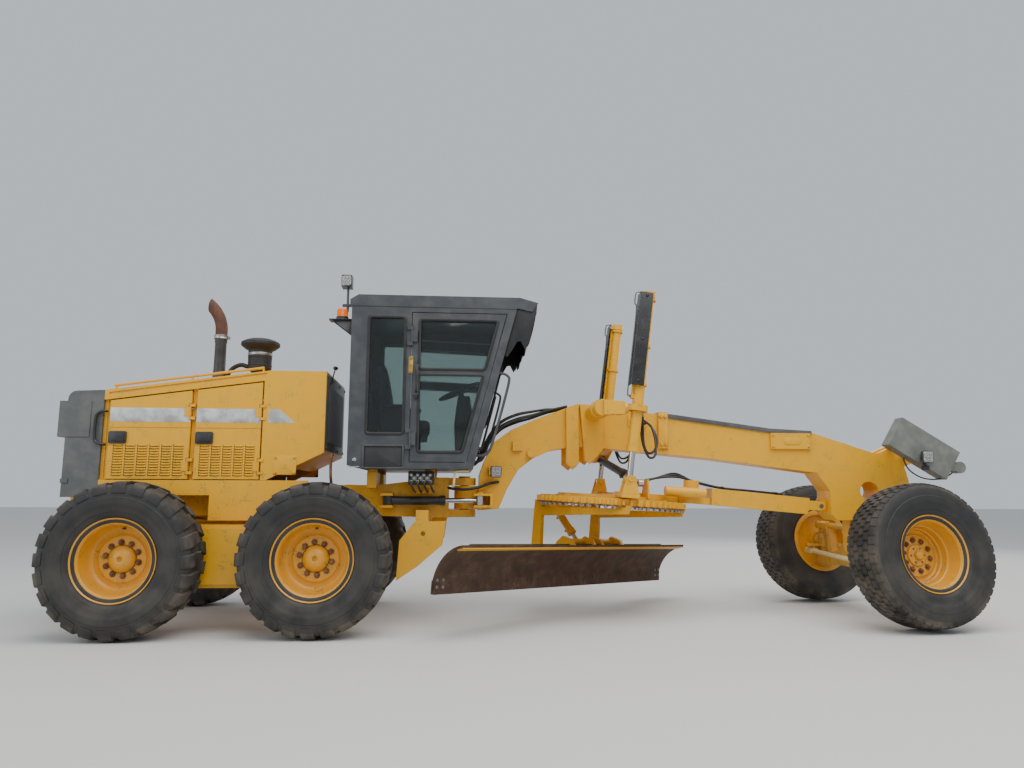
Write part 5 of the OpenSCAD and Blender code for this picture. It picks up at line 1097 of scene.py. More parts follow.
# %% Front sheet of the hood
HOOD_FRONT_X = 0.790
sheet_plate = plate(rounded_box(-0.585, 0.585, 1.660, 2.405, 0.020), 0.005,
                    spot(HOOD_FRONT_X + 0.001, 0, 0), (0, 1, 0), (0, 0, 1), 0.002)
slats = []
for y in np.linspace(-0.46, 0.46, 21):
    slat = rounded_box(y - 0.016, y + 0.016, 1.740, 2.300, 0.012)
    slats.append(plate(slat, 0.005, spot(HOOD_FRONT_X + 0.006, 0, 0), (0, 1, 0), (0, 0, 1), 0.003))
edge_places = spots([HOOD_FRONT_X + 0.005], (-0.56, -0.19, 0.19, 0.56), (1.685, 2.380))
edge_bolts = aimed(small_bolt, edge_places, (1, 0, 0))
place_mesh("hood_front_sheet", *join_parts([sheet_plate, edge_bolts] + slats), "shroud_grey", "rear")
print("front sheet with", len(slats), "slats")

# %% [markdown]
# The square work lamps are all made by one function: a soft-edged housing with cooling fins at
# its back, a clear front, and nine small domes for the diodes. It is laid out flat and then
# aimed along the direction that the lamp looks.

# %% Work lamps
def lamp_frame(look):
    """Directions across, up and ahead of a lamp that looks along look, with its top edge level."""
    ahead = np.asarray(look, float) / np.linalg.norm(look)
    across = np.cross((0, 0, 1), ahead)
    across /= np.linalg.norm(across)
    return across, np.cross(ahead, across), ahead


def work_lamp(name, centre, look, size, body):
    """A square lamp whose front face is centred at centre; size is its edge in metres."""
    across, up, ahead = lamp_frame(look)
    half = size / 2
    square = rounded_box(-half, half, -half, half, 0.16 * size)
    housing = pressed(square, [(-0.32 * size, 0.10 * size), (-0.18 * size, 0.02 * size), (-0.01, 0),
                               (-0.002, 0.001), (0, 0.004)],
                      centre, across, up)
    fins = [pressed(rounded_box(-0.40 * size, 0.40 * size, z - 0.012 * size, z + 0.012 * size,
                                0.004 * size),
                    [(-0.46 * size, 0.001), (-0.30 * size, 0.0)], centre, across, up)
            for z in np.linspace(-0.34, 0.34, 7) * size]
    place_mesh(f"{name}_housing", *join_parts([housing] + fins), "lamp_shell", body)
    diode = turned([(0.0, 0.11 * size), (0.02 * size, 0.105 * size), (0.05 * size, 0.07 * size),
                    (0.06 * size, 0.0)], 14, False)
    step = 0.27 * size
    rows = (-step, 0, step)
    middles = [centre + i * across + j * up + 0.0005 * ahead for i in rows for j in rows]
    glass = pressed(drawn_in(square, 0.07 * size), [(0.0, 0), (0.003, 0), (0.004, 0.001)], centre, across,
                    up)
    place_mesh(f"{name}_lens", *join_parts([glass, aimed(diode, middles, ahead)]), "lamp_lens", body)


for side in (-1, 1):
    work_lamp(f"roof_lamp_{side_name[side]}", spot(0.960, side * 0.690, 3.318), (-0.25, side, -0.05), 0.112,
              "rear")
work_lamp("gooseneck_lamp", spot(2.468, -0.262, 1.470), (0.25, -1, -0.1), 0.118, "front")
work_lamp("nose_lamp", spot(6.806, -0.690, 1.631), (0.10, -1, -0.04), 0.124, "front")

# %% [markdown]
# On the right of the cab's rear edge a small shelf carries the amber beacon: a plate on two
# gussets, and on it a turned base and a ribbed lens.

# %% Beacon
shelf_y = -0.620
shelf = plate(rounded_box(0.800, 1.028, shelf_y - 0.080, shelf_y + 0.080, 0.020) + (REAR_AXLE_X, 0), 0.006,
              (0, 0, 2.926), (1, 0, 0), (0, 1, 0), 0.002)
gusset = [(0.830, 2.924), (1.028, 2.924), (1.028, 2.775)]
gussets = [side_plate(gusset, -1, y, 0.005) for y in (0.560, 0.670)]
foot_plate = plate(rounded_box(shelf_y - 0.075, shelf_y + 0.075, 2.760, 2.960, 0.010), 0.006,
                   spot(1.030, 0, 0), (0, -1, 0), (0, 0, 1), 0.002)
shelf_places = spots([1.026], (shelf_y - 0.055, shelf_y + 0.055), (2.790, 2.900))
shelf_bolts = aimed(small_bolt, shelf_places, (-1, 0, 0))
place_mesh("beacon_shelf", *join_parts([shelf, foot_plate, shelf_bolts] + gussets), "lamp_shell", "rear")
ridges = [(2.968 + 0.009 * k, 0.0565 - 0.0025 * (k % 2)) for k in range(8)]
beacon_base = [(2.932, 0), (2.932, 0.060), (2.960, 0.060), (2.966, 0.057), (2.966, 0)]
beacon_lens = [(2.966, 0), (2.966, 0.057)] + ridges + [(3.040, 0.050), (3.050, 0.030), (3.052, 0)]
for name, outline, paint in (("beacon_base", beacon_base, "cab_trim"),
                             ("beacon_lens", beacon_lens, "amber_lens")):
    points, faces = turned(outline, 36, False)
    place_mesh(name, points[:, [0, 2, 1]] * (1, -1, 1) + spot(0.922, shelf_y, 0), faces, paint, "rear", 30)

# %% [markdown]
# A sheet of black rubber hangs from the brow as a sun shade, and its lower edge is torn. The
# tear is a listed outline, and the sheet over the front is a grid whose lower row follows it.

# %% Sun shade
torn_side = [(2.640, 3.068), (2.842, 3.128), (2.834, 3.020), (2.787, 2.842), (2.752, 2.700), (2.716, 2.655),
             (2.676, 2.735), (2.640, 2.728), (2.590, 2.640), (2.540, 2.572), (2.520, 2.600), (2.566, 2.780),
             (2.628, 2.990)]
for side in (-1, 1):
    place_mesh(f"sun_shade_{side_name[side]}", *side_plate(torn_side, side, 0.722, 0.004, 0.001),
               "hose_rubber", "rear", 60)
SHADE_COLUMNS, SHADE_ROWS = 49, 9
across = np.linspace(-0.720, 0.720, SHADE_COLUMNS)
ragged = 0.022 * np.sin(23.0 * across) + 0.012 * np.sin(57.0 * across)
tear = 2.70 + 0.035 * np.sin(9.1 * across + 0.6) + ragged
down = np.linspace(0, 1, SHADE_ROWS)[:, None]
height = 3.120 + (tear - 3.120) * down
ahead = 2.838 - 0.085 * down ** 1.6 + 0.010 * np.sin(7 * across) * down
front_skin = np.stack([ahead, across + 0 * down, height], -1)
back_skin = (front_skin - (0.004, 0, 0))[::-1]
skins = np.vstack([front_skin, back_skin]).reshape(-1, 3) + spot(0, 0, 0)
sides = [[r * SHADE_COLUMNS + c for r in range(2 * SHADE_ROWS)] for c in (0, SHADE_COLUMNS - 1)]
shade_faces = grid_faces(2 * SHADE_ROWS, SHADE_COLUMNS, True, False) + [sides[0], sides[1][::-1]]
place_mesh("sun_shade_front", skins, shade_faces, "hose_rubber", "rear", 60)

# %% [markdown]
# A bent rail runs down the windscreen's edge, a thin dark line shows where the roof is joined to
# the cab, and a small plate is screwed over each door's hinge side.

# %% Rails, joint line and door hardware
RAIL_ROUTE = [(2.435, 0.700, 2.417), (2.500, 0.712, 2.412), (2.552, 0.716, 2.385), (2.562, 0.716, 2.330),
              (2.504, 0.716, 2.089), (2.415, 0.716, 1.770), (2.372, 0.716, 1.655), (2.320, 0.714, 1.612),
              (2.240, 0.700, 1.610)]
for side in (-1, 1):
    hand = side_name[side]
    rail = smooth_path(side_stops(side, RAIL_ROUTE), 7)
    place_mesh(f"front_rail_{hand}", *tube(rail, 0.0135, 12), "cab_grey", "rear")
    joint = side_plate(rounded_box(1.032, 2.636, 3.046, 3.058, 0.003), side, CAB_OUT - 0.0005, 0.0025,
                       0.001)
    place_mesh(f"roof_joint_{hand}", *joint, "cab_trim", "rear")
    leaf = side_plate(rounded_box(1.588, 1.632, 2.395, 2.560, 0.005), side, CAB_OUT + 0.0008, 0.007, 0.002)
    screws = aimed(small_bolt, [spot(1.610, side * (CAB_OUT + 0.007), z) for z in (2.415, 2.478, 2.540)],
                   (0, side, 0))
    place_mesh(f"brass_plate_{hand}", *join_parts([leaf, screws]), "brass", f"cab_door_{hand}")
print("cab dressed outside")

# %% [markdown]
# The lift cylinders stand through the saddle. Each has a black channel of pressed sheet along
# its rear and outer side, a thin steel line from its top port, and clamps. Every piece is laid
# out in the cylinder's own frame: across is ahead, outward is to the side, and up is its axis.

# %% Lift cylinders' guards
LIFT_Y = 0.750
lift_pin, lift_eye = spot(3.820, 0, 2.080), spot(3.730, 0, 1.390)
lift_up = (lift_pin - lift_eye) / np.linalg.norm(lift_pin - lift_eye)
lift_ahead = np.cross((0, 1, 0), lift_up)


def on_lift(side, ahead, outward, up):
    """A place in a lift cylinder's frame, whose origin is its pin."""
    return lift_pin + (0, side * (LIFT_Y + outward), 0) + ahead * lift_ahead + up * lift_up


LINE_ROUTE = [(-0.060, 1.170), (-0.125, 1.168), (-0.140, 1.140), (-0.138, 1.05), (-0.116, 0.99),
              (-0.112, 0.60), (-0.112, 0.16), (-0.095, 0.12), (-0.060, 0.105)]
for side in (-1, 1):
    hand = side_name[side]
    body = f"lift_barrel_{hand}"
    wide, deep, thick = 0.104, 0.090, 0.004
    channel = np.array([(0.020, deep), (-wide, deep), (-wide, -0.060), (-wide + thick, -0.060),
                        (-wide + thick, deep - thick), (0.020, deep - thick)]) * (1, side)
    guard = pressed(channel, [(0, 0.0005), (0.002, 0), (0.938, 0), (0.940, 0.0005)],
                    on_lift(side, 0, 0, 0.215), lift_ahead, (0, 1, 0))
    bolts = aimed(small_bolt, [on_lift(side, -0.040, deep, up) for up in (0.26, 0.68, 1.12)], (0, side, 0))
    place_mesh(f"lift_guard_{hand}", *join_parts([guard, bolts]), "black_steel", body, 30)
    line = smooth_path([on_lift(side, ahead, 0, up) for ahead, up in LINE_ROUTE], 5)
    nuts = aimed(nut(0.022, 0.018), [on_lift(side, -0.080, 0, 1.170), on_lift(side, -0.074, 0, 0.110)],
                 -lift_ahead)
    place_mesh(f"lift_line_{hand}", *join_parts([tube(line, 0.007, 8), nuts]), "pin_steel", body)
    bands = []
    for up in (0.235, 0.62, 1.10):
        ring, faces = turned([(-0.012, 0.0655), (-0.012, 0.0705), (0.012, 0.0705), (0.012, 0.0655)], 28,
                             True)
        turn = np.array([lift_ahead, lift_up, np.cross(lift_ahead, lift_up)]).T
        bands.append((ring @ turn.T + on_lift(side, 0, 0, up), faces))
    place_mesh(f"lift_bands_{hand}", *join_parts(bands), "frame_yellow", body)
print("lift cylinders dressed")

# %% [markdown]
# The beam carries a dark grip strip on its top and small plates on its side. The strip is a
# plate whose outline follows the beam's top in side view; the grains on it are bump alone.

# %% Beam strip, clamp and brackets
BEAM_Y = 0.150
for side in (-1, 1):
    flank = [(4.245, 2.052), (5.400, 1.903), (5.860, 1.884), (5.860, 1.926), (5.400, 1.949), (4.245, 2.100)]
    place_mesh(f"beam_strip_{side_name[side]}", *side_plate(flank, side, BEAM_Y + 0.0125, 0.003, 0.001),
               "grip_grey", "front")
tops = [((4.245, 2.0975), (5.400, 1.9465)), ((5.400, 1.9465), (5.860, 1.9235))]
treads = []
for (x0, z0), (x1, z1) in tops:
    along = np.array([x1 - x0, 0, z1 - z0])
    long = np.linalg.norm(along)
    treads.append(plate(rounded_box(0.002, long - 0.002, -0.163, 0.163, 0.006), 0.004, spot(x0, 0, z0),
                        along / long, (0, 1, 0), 0.0015))
place_mesh("beam_strip_top", *join_parts(treads), "grip_grey", "front")
for side in (-1, 1):
    collar = side_plate(rounded_box(4.184, 4.286, 1.726, 2.104, 0.010), side, BEAM_Y + 0.0265, 0.006, 0.002)
    collar_places = spots((4.210, 4.260), [side * (BEAM_Y + 0.032)], (1.770, 2.060))
    collar_bolts = aimed(big_bolt, collar_places, (0, side, 0))
    place_mesh(f"beam_collar_{side_name[side]}", *join_parts([collar, collar_bolts]), "frame_yellow",
               "front")
bracket_plate = side_plate(rounded_box(5.540, 5.730, 1.775, 1.855, 0.039), -1, BEAM_Y + 0.0305, 0.004,
                           0.001)
bracket_bolts = aimed(small_bolt, spots((5.425, 5.815), [-BEAM_Y - 0.030], (1.755, 1.875)), (0, -1, 0))
place_mesh("beam_bracket_plate", *join_parts([bracket_plate, bracket_bolts]), "frame_yellow", "front")
heads = [aimed(nut(0.070, 0.026), [spot(6.965, side * 0.109, 1.210)], (0, side, 0)) for side in (-1, 1)]
heads = join_parts(heads)
place_mesh("nose_pin_nuts", *heads, "rust_nuts", "front")
print("beam dressed")

# %% [markdown]
# The blade hangs on the circle, which is parked turned under the beam, so its trim is laid out in
# the circle's own frame: ahead, along the blade, and up. The joints already hold that frame. The
# circle's turning axis is up, the blade's sliding axis runs along it, and their cross product is ahead.

# %% The circle's frame
joint = {row["name"]: row for row in frame["record"]["behaviour"]["joints"]}
CIRCLE_MIDDLE, circle_up = (np.array(joint["circle_turn"][key]) for key in ("pos_m", "axis"))
blade_way = np.array(joint["blade_shift"]["axis"])
circle_ahead = np.cross(blade_way, circle_up)
RING_HALF, ARM_Y = 0.035, 0.500
BLADE_MID, BLADE_HALF, FACE_R, FACE_AHEAD, FACE_UP = -0.290, 1.830, 0.413, 0.081, -0.875


def on_circle(ahead, along, up):
    """A place in the circle's frame, measured from its middle."""
    return (CIRCLE_MIDDLE + np.multiply.outer(ahead, circle_ahead) + np.multiply.outer(along, blade_way)
            + np.multiply.outer(up, circle_up))


def along_blade(section, start, stop, edge=0.0015):
    """A closed outline of (ahead, up) drawn out along the blade from start to stop."""
    long = stop - start
    return pressed(section, [(0, edge), (edge, 0), (long - edge, 0), (long, edge)], on_circle(0, stop, 0),
                   circle_ahead, circle_up)


def face_arc(first, last, radius, steps=10):
    """Points of the blade's section: an arc between two angles in degrees, as (ahead, up)."""
    angle = np.radians(np.linspace(first, last, steps))
    return np.stack([FACE_AHEAD + radius * np.cos(angle), FACE_UP + radius * np.sin(angle)], -1)


print("circle at", CIRCLE_MIDDLE.round(3), "blade lies along", blade_way.round(3))

# %% [markdown]
# The mouldboard's own solid is kept. A bright yellow bar stiffens its top edge, bolted ribs stand
# on its back, and rounded plough bolts hold the cutting edge and the bits at both ends.

# %% Blade trim
left, right = BLADE_MID - BLADE_HALF, BLADE_MID + BLADE_HALF
bar = np.vstack([face_arc(101.2, 112.0, FACE_R + 0.0005), face_arc(112.0, 101.2, FACE_R - 0.011)])
place_mesh("blade_top_bar", *along_blade(bar, left + 0.012, right - 0.012), "frame_yellow", "blade")
edge_bolts = on_circle(FACE_AHEAD - FACE_R + 0.017, np.arange(left + 0.17, right - 0.15, 0.1525),
                       FACE_UP + 0.062)
place_mesh("cutting_edge_bolts", *aimed(plough_bolt, edge_bolts, circle_ahead), "blade_steel", "blade")
bits, bit_bolts = [], []
for end, way in ((left, 1), (right, -1)):
    span = sorted((end + way * 0.004, end + way * 0.136))
    shape = np.array([(-0.3305, -0.897), (-0.3145, -0.897), (-0.3145, -0.742), (-0.3205, -0.735),
                      (-0.3305, -0.735)])
    bits.append(along_blade(shape, *span, 0.003))
    places = [on_circle(-0.3145, end + way * out, up) for out in (0.035, 0.105) for up in (-0.775, -0.835)]
    bit_bolts.append(aimed(plough_bolt, places, circle_ahead))
place_mesh("blade_end_bits", *join_parts(bits), "blade_steel", "blade")
place_mesh("end_bit_bolts", *join_parts(bit_bolts), "pin_steel", "blade")
ribs = [along_blade(np.vstack([face_arc(118, 160, FACE_R + 0.021), face_arc(160, 118, FACE_R + 0.046)]),
                    at - 0.006, at + 0.006)
        for at in np.linspace(left + 0.14, right - 0.14, 9)]
place_mesh("blade_back_ribs", *join_parts(ribs), "blade_steel", "blade")

# %% [markdown]
# The circle's ring is greasy and rusty between its teeth. A dark wear ring lies on it, and a row of
# pale bolt heads shows below its flange, except where the arms are in the way.

# %% Circle trim
def about_circle(outline, sides=96):
    """A closed outline of (up, out) turned about the circle's own axis."""
    points, faces = turned(outline, sides, True)
    turn = np.array([circle_ahead, circle_up, np.cross(circle_ahead, circle_up)]).T
    return points @ turn.T + CIRCLE_MIDDLE, faces


wear_ring = about_circle([(RING_HALF - 0.001, 0.640), (RING_HALF + 0.003, 0.640),
                          (RING_HALF + 0.003, 0.734), (RING_HALF - 0.001, 0.736)])
flange = about_circle([(-RING_HALF - 0.010, 0.640), (-RING_HALF + 0.004, 0.640),
                       (-RING_HALF + 0.004, 0.764), (-RING_HALF - 0.008, 0.764),
                       (-RING_HALF - 0.010, 0.762)])
place_mesh("circle_wear_ring", *wear_ring, "rust_nuts", "circle")
place_mesh("circle_flange", *flange, "rust_nuts", "circle")
angle = np.arange(56) * 2 * np.pi / 56
ahead, along = 0.742 * np.cos(angle), 0.742 * np.sin(angle)
free = (np.abs(np.abs(along) - ARM_Y) > 0.055) | (ahead > 0.63)
under = on_circle(ahead[free], along[free], np.full(free.sum(), -RING_HALF - 0.010))
place_mesh("circle_bolts", *aimed(nut(0.030, 0.022), under, -circle_up), "zinc", "circle")
print(len(under), "bolts below the circle")

# %% [markdown]
# Oil reaches every cylinder through rubber hoses. Each one here is a tube on a smooth path that
# leaves its fitting straight. A fitting is one turned shape with a hexagon.
# The hoses beside the saddle hang in a loop, so the cylinder can swing without pulling them.

# %% Saddle loops
fitting = join_parts([turned([(-0.004, 0.0), (-0.004, 0.017), (0.012, 0.017), (0.014, 0.014), (0.014, 0.0)],
                             6, False),
                      turned([(0.010, 0.0), (0.010, 0.0145), (0.044, 0.0145), (0.046, 0.012), (0.046, 0.0)],
                             14, False)])
for side in (-1, 1):
    hand = side_name[side]
    ends = []
    for k, (out, deep) in enumerate(((0.0, 0.0), (0.040, 0.045))):
        loop = side_stops(side, [
            (3.985 + out, 0.176, 2.020 - out), (4.000 + out, 0.230 + out, 2.022 - out),
            (4.050, 0.40, 1.930), (4.080 - out / 2, 0.50, 1.790),
            (4.030, 0.560 + out, 1.680 - deep), (3.955, 0.595 + out, 1.655 - deep),
            (3.910 - out / 3, 0.625 + out / 2, 1.740), (3.897 - out / 3, 0.650 - out / 3, 1.880),
            (3.894, 0.666 - out / 2, 1.975), (3.893, 0.670 - out / 2, 2.018)])
        hose(f"saddle_hose_{hand}_{k}", loop, 0.024, "front", 4)
        ends.append(aimed(fitting, loop[0] - (0, side * 0.030, 0), (0, side, 0)))
        ends.append(aimed(fitting, loop[-1] + (0, 0, 0.036), (0, 0, -1)))
    stay = side_plate([(3.86, 1.96), (4.06, 1.94), (4.06, 2.05), (3.86, 2.07)], side, 0.1505, 0.010, 0.003)
    place_mesh(f"saddle_hose_stay_{hand}", *stay, "frame_yellow", "front")
    place_mesh(f"saddle_fittings_{hand}", *join_parts(ends), "zinc", "front")
print("saddle loops hung")

# %% Hoses across the bend
NO_SHARP_EDGE = 180


def crossing_hose(name, stops, diameter):
    """A hose along a smooth path, on neither half of the machine; gives back its length."""
    path = smooth_path(stops, 5)
    piece = make_mesh(name, *tube(path, diameter / 2, 10), "hose_rubber", NO_SHARP_EDGE)
    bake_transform(piece)
    return path_length(path)


BUNDLE_ROUTE = [(2.236, 1.3, 1.560, 0), (2.268, 1.3, 1.563, 0), (2.345, 1.3, 1.640, 1),
                (2.420, 1.2, 1.790, 1), (2.540, 1.1, 1.925, 1), (2.700, 1, 2.000, 1),
                (2.860, 1, 2.050, 0.8), (3.000, 1, 2.105, 0.4), (3.110, 1, 2.140, 0), (3.220, 1, 2.166, 0)]
BELLY_ROUTE = [(1.780, 1, 1.33), (1.880, 1, 1.33), (2.020, 1.35, 1.300), (2.150, 1.45, 1.290),
               (2.280, 1.3, 1.310), (2.400, 1.02, 1.350), (2.500, 0.9, 1.370)]
lengths = []
for k, lift in enumerate((0.020, 0.075, 0.030, 0.090, 0.045, 0.010)):
    y = (k - 2.5) * 0.050
    stops = [spot(x, y * spread, z + lift * share) for x, spread, z, share in BUNDLE_ROUTE]
    lengths.append(crossing_hose(f"bundle_hose_{k}", stops, 0.026))
for k, y in enumerate((-0.19, 0.19)):
    stops = [spot(x, y * spread, z) for x, spread, z in BELLY_ROUTE]
    lengths.append(crossing_hose(f"belly_hose_{k}", stops, 0.028))
print("hoses across the bend, lengths", np.round(lengths, 2))

# %% [markdown]
# Through the cab's windows one sees the seat, the steering console and the side consoles. The
# cushions are crowned forms: a superellipsoid is a ball whose corners are pulled out towards those
# of a box. Small powers make it boxier, and a shallow groove across it stands for the sewn channels.

# %% Seat
FLOOR = 1.531
CAB_X = 1.030


def raised(wave, power):
    """A wave raised to a power, keeping its sign."""
    return np.sign(wave) * np.abs(wave) ** power


def crowned(size, power_side, power_plan, grooves, centre, tilt, rounds=28, turns=56):
    """A superellipsoid: each coordinate is a sine or cosine raised to a power, keeping its sign."""
    lat = np.linspace(-np.pi / 2, np.pi / 2, rounds)[:, None]
    lon = np.linspace(0, 2 * np.pi, turns, endpoint=False)[None, :]
    x = raised(np.cos(lat), power_side) * raised(np.cos(lon), power_plan) * size[0] / 2
    y = raised(np.cos(lat), power_side) * raised(np.sin(lon), power_plan) * size[1] / 2
    z = raised(np.sin(lat), power_side) * size[2] / 2 + 0 * lon
    z = z * (1 + 0.22 * np.cos(np.pi * x / size[0]) * np.cos(np.pi * y / size[1])) / 1.22
    seam = np.exp(-(np.sin(np.pi * grooves * (x / size[0] + 0.5)) / 0.18) ** 2)
    z = z - np.sign(z) * 0.006 * seam * (np.abs(y) < size[1] * 0.42)
    cos, sin = math.cos(tilt), math.sin(tilt)
    points = np.stack([x * cos - z * sin, y, x * sin + z * cos], -1).reshape(-1, 3) + centre
    return points, grid_faces(rounds, turns, False, True)


BACK_LEAN = math.radians(100)
cushion = crowned((0.50, 0.49, 0.155), 0.36, 0.30, 4, spot(CAB_X + 0.53, 0, FLOOR + 0.405), 0.03)
back = crowned((0.64, 0.46, 0.135), 0.36, 0.30, 5, spot(CAB_X + 0.275, 0, FLOOR + 0.745), BACK_LEAN)
for name, form in (("seat_cushion", cushion), ("seat_back", back)):
    place_mesh(name, *form, "seat_cloth", "rear", 80)

# %% [markdown]
# The seat stands on a folded rubber bellows. Beside it are two consoles with an arm pad and three
# short levers each.

# %% Seat's stand and consoles
around = rounded_box(-0.150, 0.150, -0.175, 0.175, 0.040)
folds = [(0.0, 0.0)]
for k in range(7):
    folds += [(0.020 + 0.040 * k, 0.0), (0.040 + 0.040 * k, 0.022)]
folds += [(0.318, 0.0)]
bellows = pressed(around, folds, spot(CAB_X + 0.465, 0, FLOOR), (1, 0, 0), (0, 1, 0))
pan = plate(rounded_box(-0.235, 0.235, -0.235, 0.235, 0.050), 0.022, spot(CAB_X + 0.525, 0, FLOOR + 0.316),
            (1, 0, 0), (0, 1, 0), 0.006)
spine = tube(smooth_path([spot(CAB_X + 0.33, 0, FLOOR + 0.34), spot(CAB_X + 0.265, 0, FLOOR + 0.36),
                          spot(CAB_X + 0.20, 0, FLOOR + 0.50), spot(CAB_X + 0.165, 0, FLOOR + 0.80)], 6),
             0.030, 12)
stand = place_mesh("seat_stand", *join_parts([bellows, pan, spine]), "cab_trim", "rear", 40)
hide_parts("cab_inside")
boxes, knobs = [], []
for side in (-1, 1):
    low = 0.305 if side > 0 else -0.455
    flat = rounded_box(CAB_X + 0.255 + REAR_AXLE_X, CAB_X + 0.695 + REAR_AXLE_X, low, low + 0.150, 0.030)
    boxes.append(pressed(flat, [(0, 0), (0.36, 0), (0.40, 0.012), (0.50, 0.014), (0.545, 0.002),
                                (0.556, 0.016)], (0, 0, FLOOR), (1, 0, 0), (0, 1, 0)))
    pad_middle = spot(CAB_X + 0.42, side * 0.375, FLOOR + 0.580)
    boxes.append(crowned((0.26, 0.085, 0.050), 0.5, 0.4, 1, pad_middle, 0.0, 14, 28))
    for y in (0.335 * side, 0.370 * side, 0.405 * side):
        foot_end, top_end = spot(CAB_X + 0.60, y, FLOOR + 0.55), spot(CAB_X + 0.612, y, FLOOR + 0.64)
        stick = tube(smooth_path([foot_end, top_end], 3), 0.005, 8)
        ball = crowned((0.030, 0.030, 0.034), 0.9, 0.9, 1, spot(CAB_X + 0.614, y, FLOOR + 0.655), 0.0, 9,
                       14)
        knobs += [stick, ball]
place_mesh("side_consoles", *join_parts(boxes), "cab_trim", "rear", 40)
place_mesh("console_levers", *join_parts(knobs), "black_steel", "rear", 50)

# %% [markdown]
# The steering wheel is a ring of circles round a slanted axis, with a hub and three spokes.

# %% Steering console and wheel
tower = side_plate([(CAB_X + 0.985, FLOOR), (CAB_X + 1.115, FLOOR), (CAB_X + 1.150, FLOOR + 0.50),
                    (CAB_X + 1.130, FLOOR + 0.72), (CAB_X + 1.030, FLOOR + 0.72),
                    (CAB_X + 0.990, FLOOR + 0.45)], -1, -0.105, 0.210, 0.020)
slant = math.radians(-25)
wheel_up = np.array([math.sin(slant), 0, math.cos(slant)])
wheel_out = np.array([math.cos(slant), 0, -math.sin(slant)])
wheel_side = np.array([0, 1.0, 0])
hub_at = spot(CAB_X + 1.040, 0, FLOOR + 0.770)
ring_line = np.linspace(0, 2 * np.pi, 48, endpoint=False)
rim_line = ring_line[:, None]
rim_round = np.linspace(0, 2 * np.pi, 12, endpoint=False)[None, :]
reach = 0.190 + 0.013 * np.cos(rim_round)
wheel_rim = ((reach * np.cos(rim_line))[..., None] * wheel_out
             + (reach * np.sin(rim_line))[..., None] * wheel_side
             + (0.013 * np.sin(rim_round) + 0 * rim_line)[..., None] * wheel_up).reshape(-1, 3) + hub_at
parts = [(wheel_rim, grid_faces(48, 12, True, True)),
         aimed(turned([(-0.100, 0), (-0.100, 0.022), (-0.020, 0.024), (-0.012, 0.045), (0.006, 0.045),
                       (0.014, 0.030), (0.014, 0)], 24, False),
               [hub_at], wheel_up)]
for turn in (0.5, 2.64, 4.71):
    way = math.cos(turn) * wheel_side + math.sin(turn) * wheel_out
    spoke = smooth_path([hub_at, hub_at + 0.09 * way - 0.006 * wheel_up, hub_at + 0.190 * way], 4)
    parts.append(tube(spoke, 0.009, 8))
place_mesh("steering_console", *tower, "cab_trim", "rear", 40)
place_mesh("steering_wheel", *join_parts(parts), "lamp_shell", "rear", 40)
print("seat, consoles and wheel in the cab")

# %% [markdown]
# A wiper is an arm, a bow and a thin rubber blade. All three lie along the slanted windscreen, a
# finger's width off the glass, so their points are set by height and the glass's own slope.

# %% Wipers
def glass(y, z, off):
    """A place ahead of the windscreen by off, at the side y and the height z."""
    return spot(cab_front(z) + off, y, z)


wiper_arms, wiper_rubbers = [], []
for y0, y1 in ((-0.33, -0.20), (0.33, 0.20)):
    wiper_arms.append(tube(smooth_path([glass(y0, 1.700, 0.014), glass(y0, 1.715, 0.040),
                                        glass(y0 * 0.9 + y1 * 0.1, 1.80, 0.042), glass(y1, 2.250, 0.040)],
                                       6), 0.007, 8))
    wiper_arms.append(aimed(turned([(-0.02, 0), (-0.02, 0.020), (0.030, 0.020), (0.036, 0.012), (0.036, 0)],
                                   18, False),
                            [glass(y0, 1.700, 0.004)], (1, 0, -0.26)))
    wiper_rubbers.append(tube(smooth_path([glass(y1, 1.950, 0.020), glass(y1, 2.240, 0.026),
                                           glass(y1, 2.560, 0.020)], 6), 0.008, 6))
place_mesh("wiper_arms", *join_parts(wiper_arms), "black_steel", "rear")
place_mesh("wiper_rubbers", *join_parts(wiper_rubbers), "hose_rubber", "rear")

# %% [markdown]
# Low on the cab's right side the panel is cut back over a dark shelf, and a rusty pipe handle and
# a yellow ledge stand beside it. The recess is drawn by a frame of bent sheet round a flat
# near-black panel, whose darkness is painted shade for the hollow behind the frame.

# %% Recess under the cab's rear window
# a flat near-black plate on the cab's side: painted shade for the recess's hollow
recess = side_plate(rounded_box(1.190, 1.545, 1.492, 1.690, 0.012), -1, CAB_OUT + 0.0005, 0.003, 0.001)
place_mesh("cab_recess", *recess, "cab_trim", "rear")
BARS_AROUND = ((1.172, 1.564, 1.688, 1.706), (1.172, 1.190, 1.486, 1.700),
               (1.545, 1.564, 1.486, 1.700), (1.160, 1.576, 1.478, 1.494))
frame_bars = [side_plate(rounded_box(*bar, 0.004), -1, CAB_OUT + 0.0005, 0.014,
                         0.004) for bar in BARS_AROUND]
place_mesh("cab_recess_frame", *join_parts(frame_bars), "cab_grey", "rear")
cap = aimed(turned([(-0.002, 0), (-0.002, 0.019), (0.004, 0.019), (0.008, 0.013), (0.009, 0)], 20, False),
            [spot(1.100, -CAB_OUT - 0.001, 1.560)], (0, -1, 0))
seam = side_plate(rounded_box(1.036, 1.150, 1.492, 1.500, 0.002), -1, CAB_OUT + 0.0005, 0.006, 0.002)
place_mesh("cab_foot_cap", *join_parts([cap, seam]), "zinc", "rear")
handle = tube(smooth_path([spot(0.866, -0.560, 1.330), spot(0.862, -0.600, 1.420),
                           spot(0.860, -0.605, 1.540), spot(0.862, -0.585, 1.612),
                           spot(0.866, -0.545, 1.618)], 6), 0.014, 12)
place_mesh("mid_handle", *handle, "rust_nuts", "rear")

# %% [markdown]
# A thin bent stalk with a round head stands at the hood's front edge.

